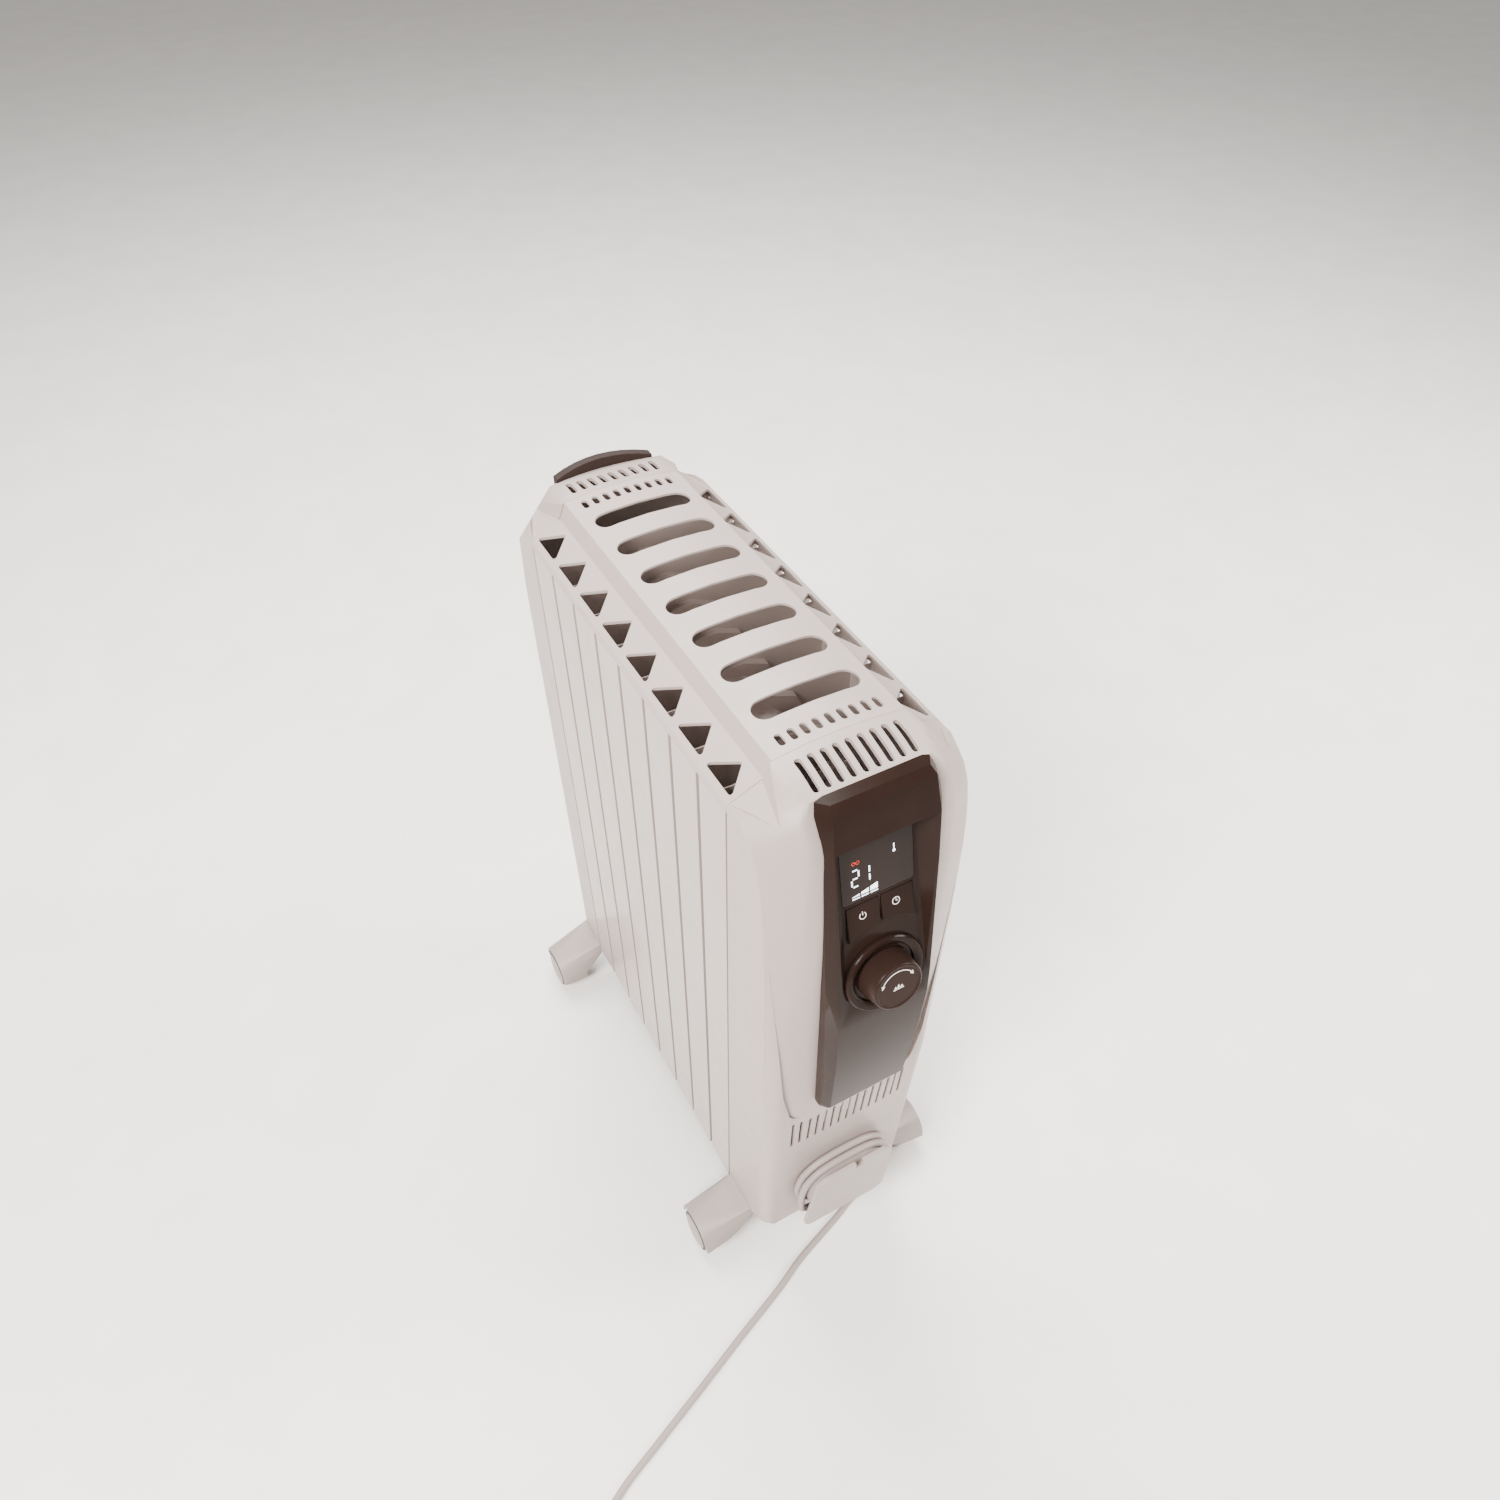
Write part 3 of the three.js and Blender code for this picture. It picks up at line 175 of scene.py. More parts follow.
def circuit_board(name, color):
    """Solder resist over copper tracks, which show as paler lines."""
    material = finish(name, color, 0.35, coat=0.3)
    tree = material.node_tree
    shader = tree.nodes["Principled BSDF"]
    coords = tree.nodes.new("ShaderNodeTexCoord").outputs["Object"]
    tracks = tree.nodes.new("ShaderNodeTexVoronoi")
    tracks.feature = "DISTANCE_TO_EDGE"
    tracks.inputs["Scale"].default_value = 160
    tree.links.new(coords, tracks.inputs["Vector"])
    ramp = tree.nodes.new("ShaderNodeValToRGB")
    ramp.color_ramp.elements[0].position = 0.05
    ramp.color_ramp.elements[0].color = (*[min(1, c * 1.9 + 0.03) for c in color], 1)
    ramp.color_ramp.elements[1].position = 0.07
    ramp.color_ramp.elements[1].color = (*color, 1)
    tree.links.new(tracks.outputs["Distance"], ramp.inputs["Fac"])
    tree.links.new(ramp.outputs["Color"], shader.inputs["Base Color"])
    return material


def tinged(color, share):
    """A lighter or darker version of a colour."""
    return tuple(c * share for c in color)


def make_finishes(look):
    """Every finish, by the record's slot name or by its own."""
    body, trim = tuple(look.body_color), tuple(look.trim_color)
    pale, grey = tinged(body, 0.93), tinged(body, 0.8)
    return {
        "enamel": finish("oven_enamel", body, 0.36, coat=0.2, grain=(260, 0.03), mottle=(5, 0.015)),
        "casing": finish("moulded_casing", body, 0.42, grain=(1900, 0.10), mottle=(6, 0.012)),
        "pale_plastic": finish("pale_moulding", pale, 0.46, grain=(1900, 0.12)),
        "grey_plastic": finish("grey_moulding", grey, 0.5, grain=(1700, 0.14), dust=0.08),
        "bezel_gloss": finish("piano_brown", trim, 0.16, grain=(90, 0.012), mottle=(30, 0.1), shine=0.045),
        "bezel_satin": finish("satin_brown", tinged(trim, 1.3), 0.3, grain=(2400, 0.06), shine=0.05),
        "grip_rubber": finish("soft_grip", tinged(trim, 1.2), 0.62, grain=(2600, 0.2), shine=0.2),
        "window": finish("tinted_window", tinged(trim, 0.9), 0.2, grain=(60, 0.01), shine=0.12),
        "dark_parts": finish("dark_moulding", (0.03, 0.03, 0.032), 0.45),
        "steel": finish(
            "bare_steel", (0.56, 0.55, 0.53), 0.32, metallic=1, grain=(700, 0.1), stretch=(1, 14, 1)
        ),
        "board": circuit_board("green_board", (0.03, 0.16, 0.07)),
        "copper_coil": finish(
            "varnished_winding", (0.35, 0.14, 0.05), 0.35, metallic=0.5, stretch=(1, 1, 30)
        ),
        "cord": finish("cord_jacket", grey, 0.48, grain=(1500, 0.12), mottle=(20, 0.03)),
        "white_light": glow("white_light", (0.85, 0.92, 1.0), 2.2),
        "red_light": glow("red_light", (0.9, 0.05, 0.03), 1.2),
        "printing": finish("white_printing", (0.82, 0.8, 0.76), 0.4),
        "pin_metal": finish("plated_pins", (0.72, 0.70, 0.66), 0.22, metallic=1, grain=(900, 0.06)),
        # Painted shadow: a near-black finish for the ring in each wheel's cap groove, standing in for the shade in
        # that groove.
        "shadow_gap": finish("painted_groove_shadow", (0.05, 0.045, 0.04), 0.7, grain=(300, 0.2)),
    }


FINISHES = {}


# ---- Building helpers ----


def place(piece, body, slot, *replaced):
    """Links a finished piece, rides it on its body and hides the CAD nodes it stands in for."""
    if piece.name not in bpy.context.scene.objects:
        bpy.context.scene.collection.objects.link(piece)
    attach(piece, body)
    if replaced:
        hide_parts(*replaced)
    return piece


def shade(mesh, angle=32):
    """Smooth shading with creases kept."""
    for face in mesh.polygons:
        face.use_smooth = True
    mesh.set_sharp_from_angle(angle=math.radians(angle))


def settled(piece):
    """The piece with its modifiers applied, as a plain mesh."""
    graph = bpy.context.evaluated_depsgraph_get()
    made = bpy.data.meshes.new_from_object(piece.evaluated_get(graph))
    piece.modifiers.clear()
    old = piece.data
    piece.data = made
    if old.users == 0:
        bpy.data.meshes.remove(old)
    return piece


def softened(node, name, material, edge=0.5, crease=32, segments=2, clamp=True):
    """A CAD node's shape with its creases rounded, standing in for the node."""
    mesh = frame["nodes"][node].data.copy()
    mesh.name = name
    mesh.materials.clear()
    mesh.materials.append(material)
    shape = bmesh.new()
    shape.from_mesh(mesh)
    bmesh.ops.remove_doubles(shape, verts=shape.verts, dist=0.004 * MM)
    bmesh.ops.dissolve_limit(shape, angle_limit=math.radians(0.4), verts=shape.verts, edges=shape.edges)
    least = math.radians(crease)
    sharp = [e for e in shape.edges if len(e.link_faces) == 2 and e.calc_face_angle(0) > least]
    bmesh.ops.bevel(
        shape, geom=sharp, offset=edge * MM, segments=segments, profile=0.6, affect="EDGES",
        clamp_overlap=clamp,
    )
    shape.to_mesh(mesh)
    shape.free()
    piece = bpy.data.objects.new(name, mesh)
    bpy.context.scene.collection.objects.link(piece)
    shade(mesh, 40)
    weigh = piece.modifiers.new("weigh", "WEIGHTED_NORMAL")
    weigh.keep_sharp = True
    settled(piece)
    return place(piece, BODY_OF[node], NODE_SLOT[node], node)


def painted(node):
    """A CAD node whose shape is right keeps it and gets its finish."""
    mesh = frame["nodes"][node].data
    mesh.materials.clear()
    mesh.materials.append(FINISHES[NODE_SLOT[node]])


def new_piece(name, shape, material, body, slot, *replaced, crease=32):
    """A piece from a bmesh."""
    bmesh.ops.recalc_face_normals(shape, faces=shape.faces)
    mesh = bpy.data.meshes.new(name)
    shape.to_mesh(mesh)
    shape.free()
    mesh.materials.append(material)
    shade(mesh, crease)
    return place(bpy.data.objects.new(name, mesh), body, slot, *replaced)


def lathe(shape, profile, matrix, sides=48):
    """Adds a turned solid about Z. The profile of (radius, height) starts and ends on the axis."""
    rings = []
    for radius, height in profile:
        if radius < 1e-7:
            rings.append([shape.verts.new(matrix @ Vector((0, 0, height)))])
            continue
        ring = []
        for i in range(sides):
            a = 2 * math.pi * i / sides
            spot = Vector((radius * math.cos(a), radius * math.sin(a), height))
            ring.append(shape.verts.new(matrix @ spot))
        rings.append(ring)
    for low, high in zip(rings, rings[1:]):
        for i in range(sides):
            j = (i + 1) % sides
            corners = [low[i % len(low)], low[j % len(low)], high[j % len(high)], high[i % len(high)]]
            corners = list(dict.fromkeys(corners))
            if len(corners) > 2:
                shape.faces.new(corners)


def slab(shape, points, depth, thickness, matrix):
    """Adds a flat plate of an outline given in (across, up), lying at a depth on the panel."""
    front = [shape.verts.new(matrix @ Vector((x, depth - thickness, z))) for x, z in points]
    back = [shape.verts.new(matrix @ Vector((x, depth, z))) for x, z in points]
    shape.faces.new(front)
    shape.faces.new(list(reversed(back)))
    for i in range(len(points)):
        j = (i + 1) % len(points)
        shape.faces.new([front[i], back[i], back[j], front[j]])


def stroke(points, width):
    """The outline of a line of some width drawn through the points."""
    left, right = [], []
    for i, point in enumerate(points):
        here = Vector(point)
        ahead = Vector(points[min(i + 1, len(points) - 1)]) - Vector(points[max(i - 1, 0)])
        side = Vector((-ahead.y, ahead.x)).normalized() * width / 2
        left.append(here + side)
        right.append(here - side)
    return [tuple(p) for p in left + right[::-1]]


def arc(cx, cz, radius, start, end, steps=20):
    """Points along an arc, in degrees."""
    angles = [math.radians(start + (end - start) * i / steps) for i in range(steps + 1)]
    return [(cx + radius * math.cos(a), cz + radius * math.sin(a)) for a in angles]


# ---- Geometry node tree ----


def socket(tree, name, kind, default=None):
    """An input of a tree, with its default."""
    item = tree.interface.new_socket(name=name, in_out="INPUT", socket_type=kind)
    if default is not None:
        item.default_value = default
    return item.identifier


def line_tree():
    """A tree that repeats a small shape along a line."""
    tree = bpy.data.node_groups.new("repeat_line", "GeometryNodeTree")
    tree.interface.new_socket(name="Geometry", in_out="OUTPUT", socket_type="NodeSocketGeometry")
    ids = {
        "Shape": socket(tree, "Shape", "NodeSocketObject"),
        "Count": socket(tree, "Count", "NodeSocketInt", 8),
        "Finish": socket(tree, "Finish", "NodeSocketMaterial"),
        "Start": socket(tree, "Start", "NodeSocketVector"),
        "Step": socket(tree, "Step", "NodeSocketVector"),
    }
    new, link = tree.nodes.new, tree.links.new
    given = new("NodeGroupInput").outputs
    shape = new("GeometryNodeObjectInfo")
    link(given["Shape"], shape.inputs["Object"])
    spots = new("GeometryNodeMeshLine")
    spots.mode = "OFFSET"
    link(given["Count"], spots.inputs["Count"])
    link(given["Start"], spots.inputs["Start Location"])
    link(given["Step"], spots.inputs["Offset"])
    copies = new("GeometryNodeInstanceOnPoints")
    link(spots.outputs["Mesh"], copies.inputs["Points"])
    link(shape.outputs["Geometry"], copies.inputs["Instance"])
    real = new("GeometryNodeRealizeInstances")
    link(copies.outputs["Instances"], real.inputs["Geometry"])
    paint = new("GeometryNodeSetMaterial")
    link(real.outputs["Geometry"], paint.inputs["Geometry"])
    link(given["Finish"], paint.inputs["Material"])
    link(paint.outputs["Geometry"], new("NodeGroupOutput").inputs["Geometry"])
    return tree, ids


def repeated(name, shape, values, material, body, slot):
    """A piece made of copies of a small bmesh, laid along a line by the repeating tree."""
    tree, ids = line_tree()
    bmesh.ops.recalc_face_normals(shape, faces=shape.faces)
    unit_mesh = bpy.data.meshes.new(name + "_unit")
    shape.to_mesh(unit_mesh)
    shape.free()
    unit = bpy.data.objects.new(name + "_unit", unit_mesh)
    holder = bpy.data.objects.new(name, bpy.data.meshes.new(name))
    for thing in (unit, holder):
        bpy.context.scene.collection.objects.link(thing)
    modifier = holder.modifiers.new("repeat", "NODES")
    modifier.node_group = tree
    for key, value in {**values, "Shape": unit, "Finish": material}.items():
        modifier[ids[key]] = value
    settled(holder)
    bpy.data.objects.remove(unit)
    bpy.data.meshes.remove(unit_mesh)
    shade(holder.data)
    return place(holder, body, slot)


def facing(spot, direction):
    """A place whose +Z looks along a direction."""
    return Matrix.Translation(Vector(spot)) @ Vector(direction).to_track_quat("Z", "X").to_matrix().to_4x4()


# ---- Cord ----


def smooth_run(points, step):
    """A centripetal Catmull-Rom curve through the points, sampled about every step."""
    pts = [Vector(p) for p in points]
    pts = [2 * pts[0] - pts[1], *pts, 2 * pts[-1] - pts[-2]]
    out = [pts[1]]
    for p0, p1, p2, p3 in zip(pts, pts[1:], pts[2:], pts[3:]):
        t1 = (p1 - p0).length ** 0.5
        t2 = t1 + (p2 - p1).length ** 0.5
        t3 = t2 + (p3 - p2).length ** 0.5
        count = max(2, round((p2 - p1).length / step))
        for i in range(1, count + 1):
            t = t1 + (t2 - t1) * i / count
            a1 = p0.lerp(p1, t / t1)
            a2 = p1.lerp(p2, (t - t1) / (t2 - t1))
            a3 = p2.lerp(p3, (t - t2) / (t3 - t2))
            b1 = a1.lerp(a2, t / t2)
            b2 = a2.lerp(a3, (t - t1) / (t3 - t1))
            out.append(b1.lerp(b2, (t - t1) / (t2 - t1)))
    return out


def wound_turns(radius):
    """The cord's points from the strain relief round the wrap's core, as the frame has them."""
    core_low, core_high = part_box("cord_wrap_core")
    plate_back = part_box("cord_wrap_plate")[1].y
    gap = 1 * MM
    first, last = core_high.y - radius - 0.6 * MM, plate_back + radius + 0.5 * MM
    middle = (core_low + core_high) / 2
    half = (core_high.x - core_low.x) / 2 + radius + gap
    rise = (core_high.z - core_low.z) / 2 + radius + gap
    corner = 30 * MM + radius + gap
    angle = math.radians(210)
    along = Vector((math.cos(angle), 0, math.sin(angle)))
    relief_y = (core_high.y + 0.3 * MM + plate_back) / 2
    start = Vector((20 * MM, relief_y, core_low.z + 38 * MM)) + along * 26.3 * MM
    side = Vector((along.z, 0, -along.x))
    run = 3 * MM
    bend = (half + start.x + run * along.x) / (1 - side.x)
    centre = start + along * run + side * bend
    points = [start]
    for i in range(5):
        a = angle + math.pi / 2 - (angle - math.pi / 2) * i / 4
        y = relief_y + (first - relief_y) * i / 4
        points.append(Vector((centre.x + bend * math.cos(a), y, centre.z + bend * math.sin(a))))
    cross = first + (last - first) / 3
    turns = [(-1, 1, 180, first, first), (1, 1, 90, first, first), (1, -1, 0, first, cross),
             (-1, -1, -90, cross, last), (-1, 1, 180, last, last), (1, 1, 90, last, last)]
    for across, up, begin, y0, y1 in turns:
        for i in range(4):
            a = math.radians(begin - 30 * i)
            points.append(Vector((
                middle.x + across * (half - corner) + corner * math.cos(a),
                y0 + (y1 - y0) * i / 3,
                middle.z + up * (rise - corner) + corner * math.sin(a),
            )))
    return points, half, last, middle.z


# Across, distance in front of the housing's face, and height, in millimetres.
FLOOR_ROUTE = [
    (47, 7.5, 58), (43, 2, 33), (36, -2, 14), (26, -1, 5.2), (16, 2.8, 3.6), (5.7, 6.7, 3.6),
    (-17.9, 14.5, 3.6), (-51.2, 26, 3.6), (-86.5, 41.5, 3.6), (-143.7, 63.4, 3.6), (-201.2, 86.3, 3.6),
    (-258, 108.5, 3.6), (-306, 128, 3.6), (-345, 152, 3.6),
]


def eased(value, start, end, low, high):
    """Goes smoothly from low to high as value goes from start to end."""
    t = min(1.0, max(0.0, (value - start) / (end - start)))
    return low + (high - low) * t * t * (3 - 2 * t)


def coiled_turns(centre, start, radius, turn):
    """Three and a bit turns in two layers, an outer and an inner one in each."""
    outer, inner = turn + radius, turn - radius
    low, high = 3.6 * MM, 10.9 * MM
    points = []
    for degrees in range(0, 1140, 15):
        r = outer + eased(degrees, 275, 335, 0, inner - outer) + eased(degrees, 730, 790, 0, outer - inner)
        z = low + eased(degrees, 580, 640, 0, high - low)
        a = start + math.radians(degrees)
        points.append(Vector((centre.x + r * math.cos(a), centre.y + r * math.sin(a), z)))
    return points


def cord_line(radius):
    """The whole cord's points, and where its coil is."""
    points, half, last, middle = wound_turns(radius)
    points += [Vector((half, last, middle)), Vector((half + 1.5 * MM, last, middle - 26 * MM)),
               Vector((half + MM, last + MM, middle - 50 * MM))]
    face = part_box("cord_wrap_core")[1].y + 0.3 * MM
    points += [Vector((x * MM, face - out * MM, z * MM)) for x, out, z in FLOOR_ROUTE]
    low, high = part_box("cord_coil")
    centre = (low + high) / 2
    arrival = (points[-1] - points[-2]).normalized()
    begin = math.atan2(-arrival.x, arrival.y)
    points += coiled_turns(centre, begin, radius, COIL_TURN)
    plug_low, plug_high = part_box("plug")
    entry = Vector((plug_low.x, (plug_low.y + plug_high.y) / 2, (plug_low.z + plug_high.z) / 2))
    tail = [(-41, -13, 10.8), (-40.3, -25, 9.4), (-38.5, -39, 6.4), (-33, -51.5, 6.4), (-24, -60.5, 10.2),
            (-16.5, -64.6, 14.8)]
    points += [Vector((centre.x + x * MM, centre.y + y * MM, z * MM)) for x, y, z in tail]
    return points + [entry + Vector((-0.3 * MM, 0, 0))], centre


# ---- Settings ----


class HeaterLook(bpy.types.PropertyGroup):
    """Colours and marks a maker would change."""

    body_color: FloatVectorProperty(
        name="Body colour", description="Enamel and casing", subtype="COLOR", size=3, min=0, max=1,
        default=(0.38, 0.315, 0.29),
    )
    trim_color: FloatVectorProperty(
        name="Trim colour", description="Control panel and knob", subtype="COLOR", size=3, min=0, max=1,
        default=(0.017, 0.0095, 0.0075),
    )
    shown_number: IntProperty(
        name="Shown number", description="Temperature on the display", default=21, min=10, max=39
    )


class HeaterCord(bpy.types.PropertyGroup):
    """The mains cord."""

    diameter: FloatProperty(
        name="Cord diameter", description="Across the jacket", default=0.007, min=0.004, max=0.012,
        subtype="DISTANCE", unit="LENGTH",
    )


class HeaterStage(bpy.types.PropertyGroup):
    """The studio."""

    floor_color: FloatVectorProperty(
        name="Floor colour", description="Plain studio floor", subtype="COLOR", size=3, min=0, max=1,
        default=(0.90, 0.88, 0.85),
    )
    lens: FloatProperty(name="Lens", description="Focal length of the camera", default=25.18, min=10, max=200)


# ---- Operators ----


class RADIATOR_OT_stage(bpy.types.Operator):
    """Set up the camera, the lights and the floor"""

    bl_idname = "radiator.stage"
    bl_label = "Stage"

    def execute(self, context):
        scene = context.scene
        settings = scene.radiator_stage
        lens = bpy.data.cameras.new("camera")
        lens.lens = settings.lens
        lens.sensor_width = 36
        lens.shift_x, lens.shift_y = CAMERA_SHIFT
        lens.clip_start = 0.05
        lens.dof.use_dof = False
        camera = bpy.data.objects.new("camera", lens)
        azimuth, elevation = math.radians(CAMERA_AZIMUTH), math.radians(CAMERA_ELEVATION)
        roll = math.radians(CAMERA_ROLL)
        level = math.cos(elevation)
        back = Vector((math.sin(azimuth) * level, -math.cos(azimuth) * level, math.sin(elevation)))
        right = Vector((0, 0, 1)).cross(back).normalized()
        up = back.cross(right)
        turned_right = right * math.cos(roll) + up * math.sin(roll)
        turned_up = up * math.cos(roll) - right * math.sin(roll)
        turn = Matrix((turned_right, turned_up, back)).transposed().to_4x4()
        camera.matrix_world = Matrix.Translation(CAMERA_SPOT) @ turn
        scene.collection.objects.link(camera)
        scene.camera = camera

        shape = bmesh.new()
        bmesh.ops.create_grid(shape, x_segments=1, y_segments=1, size=FLOOR_HALF)
        mesh = bpy.data.meshes.new("floor")
        shape.to_mesh(mesh)
        shape.free()
        mesh.materials.append(finish("studio_floor", tuple(settings.floor_color), 0.7, grain=(40, 0.02)))
        floor = bpy.data.objects.new("floor", mesh)
        floor.location.z = -0.0005
        scene.collection.objects.link(floor)

        world = bpy.data.worlds.new("studio")
        world.use_nodes = True
        world.node_tree.nodes["Background"].inputs["Color"].default_value = (1.0, 0.975, 0.95, 1)
        world.node_tree.nodes["Background"].inputs["Strength"].default_value = 0.4
        scene.world = world
        lamps = (
            ("key", (-1.9, -1.0, 2.3), (0, 0, 0.35), 1.1, 235, (1, 0.96, 0.92)),
            ("side", (2.2, -0.9, 1.6), (0, 0, 0.4), 1.0, 110, (1, 0.94, 0.9)),
            ("overhead", (0.2, 1.3, 2.6), (0, 0, 0.5), 1.6, 150, (1, 0.99, 0.97)),
        )
        for name, spot, target, size, power, color in lamps:
            lamp = bpy.data.lights.new(name, "AREA")
            lamp.shape = "SQUARE"
            lamp.size = size
            lamp.energy = power
            lamp.color = color
            thing = bpy.data.objects.new(name, lamp)
            aim = Vector(target) - Vector(spot)
            turn = aim.to_track_quat("-Z", "Y").to_matrix().to_4x4()
            thing.matrix_world = Matrix.Translation(spot) @ turn
            scene.collection.objects.link(thing)
        return {"FINISHED"}


class RADIATOR_OT_cord(bpy.types.Operator):
    """Lay the cord from its strain relief to its plug"""

    bl_idname = "radiator.cord"
    bl_label = "Cord"

    def execute(self, context):
        diameter = context.scene.radiator_cord.diameter
        radius = diameter / 2
        points, centre = cord_line(radius)
        run = smooth_run(points, 3 * MM)
        curve = bpy.data.curves.new("cord", "CURVE")
        curve.dimensions = "3D"
        curve.bevel_depth = radius
        curve.bevel_resolution = 5
        curve.use_fill_caps = True
        spline = curve.splines.new("POLY")
        spline.points.add(len(run) - 1)
        for spot, point in zip(run, spline.points):
            point.co = (*spot, 1)
        spline.use_smooth = True
        curve.materials.append(FINISHES["cord"])
        cord = bpy.data.objects.new("mains_cord", curve)
        place(cord, "heater", "cord", "cord_winding", "cord_run", "cord_coil")

        tie = bmesh.new()
        low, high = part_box("cord_coil")
        middle = (high.x - low.x) / 2 - 7.25 * MM
        a = math.radians(300)
        out = Vector((math.cos(a), math.sin(a), 0))
        spot = centre + out * middle
        loop = [(0, 0.5), (-8.2, 0.2), (-8.2, 14.6), (8.2, 14.6), (8.2, 0.2), (0.01, 0.5)]
        ring = stroke([(x * MM, z * MM) for x, z in loop], 0.8 * MM)
        frame_of_tie = Matrix.Translation((spot.x, spot.y, 0)) @ Matrix.Rotation(a, 4, "Z")
        slab(tie, ring, 4 * MM, 8 * MM, frame_of_tie)
        band = new_piece("coil_tie", tie, FINISHES["dark_parts"], "heater", "dark_parts")

        plug, pins = self.plug()
        return {"FINISHED"}

    def plug(self):
        low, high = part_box("plug")
        axis = Vector((low.x, (low.y + high.y) / 2, (low.z + high.z) / 2))
        face = high.x - low.x - PIN_LENGTH
        matrix = facing(axis, (1, 0, 0))
        body = bmesh.new()
        big = (high.z - low.z) / 2
        profile = [(0, 0), (4.6 * MM, 0)]
        for i in range(5):
            x = (1.5 + 3 * i) * MM
            grow = 0.35 * i * MM
            rib, valley = 4.6 * MM + grow, 4.0 * MM + grow
            profile += [(rib, x), (rib, x + 1.4 * MM), (valley, x + 1.6 * MM), (valley, x + 2.6 * MM)]
        profile += [(6.6 * MM, 17 * MM), (big - 3.4 * MM, 21 * MM), (big - 1.2 * MM, 24.5 * MM),
                    (big, 29 * MM)]
        for i in range(4):
            x = (32 + 3.4 * i) * MM
            groove = big - 0.7 * MM
            profile += [(big, x), (groove, x + 0.6 * MM), (groove, x + 1.4 * MM), (big, x + 2 * MM)]
        profile += [(big, face - 1.6 * MM), (big - 0.5 * MM, face - 0.5 * MM), (big - 1.6 * MM, face),
                    (0, face)]
        lathe(body, profile, matrix, 64)
        plug = new_piece("plug_body", body, FINISHES["cord"], "heater", "cord", "plug")
        unit = bmesh.new()
        pin = [(0, 0), (2.4 * MM, 0), (2.4 * MM, 17.4 * MM), (1.9 * MM, 18.6 * MM), (1.1 * MM, PIN_LENGTH),
               (0, PIN_LENGTH)]
        lathe(unit, pin, facing((0, 0, 0), (1, 0, 0)), 24)
        start = Vector((low.x + face, axis.y - PIN_SPACING / 2, axis.z))
        layout = {"Count": 2, "Start": start, "Step": (0, PIN_SPACING, 0)}
        pins = repeated("plug_pins", unit, layout, FINISHES["pin_metal"], "heater", "steel")
        return plug, pins


class RADIATOR_OT_fins(bpy.types.Operator):
    """Finish the row of fins"""

    bl_idname = "radiator.fins"
    bl_label = "Fins"

    def execute(self, context):
        for i in range(1, 9):
            softened(f"fin_{i}", f"steel_fin_{i}", FINISHES["enamel"], 0.35, clamp=False)
        for node in ("upper_front_plug", "oil_filler_plug", "lower_rear_plug"):
            softened(node, node.replace("plug", "hex_plug"), FINISHES["steel"], 0.6)
        return {"FINISHED"}


class RADIATOR_OT_casing(bpy.types.Operator):
    """Finish the cover and the two housings"""

    bl_idname = "radiator.casing"
    bl_label = "Casing"

    def execute(self, context):
        softened("top_cover", "vented_cover", FINISHES["casing"], 0.6)
        softened("front_housing", "front_casing", FINISHES["casing"], 0.6)
        softened("rear_housing", "rear_casing", FINISHES["casing"], 0.6)
        softened("rear_grip", "rear_grip_strip", FINISHES["grip_rubber"], 0.8)
        return {"FINISHED"}


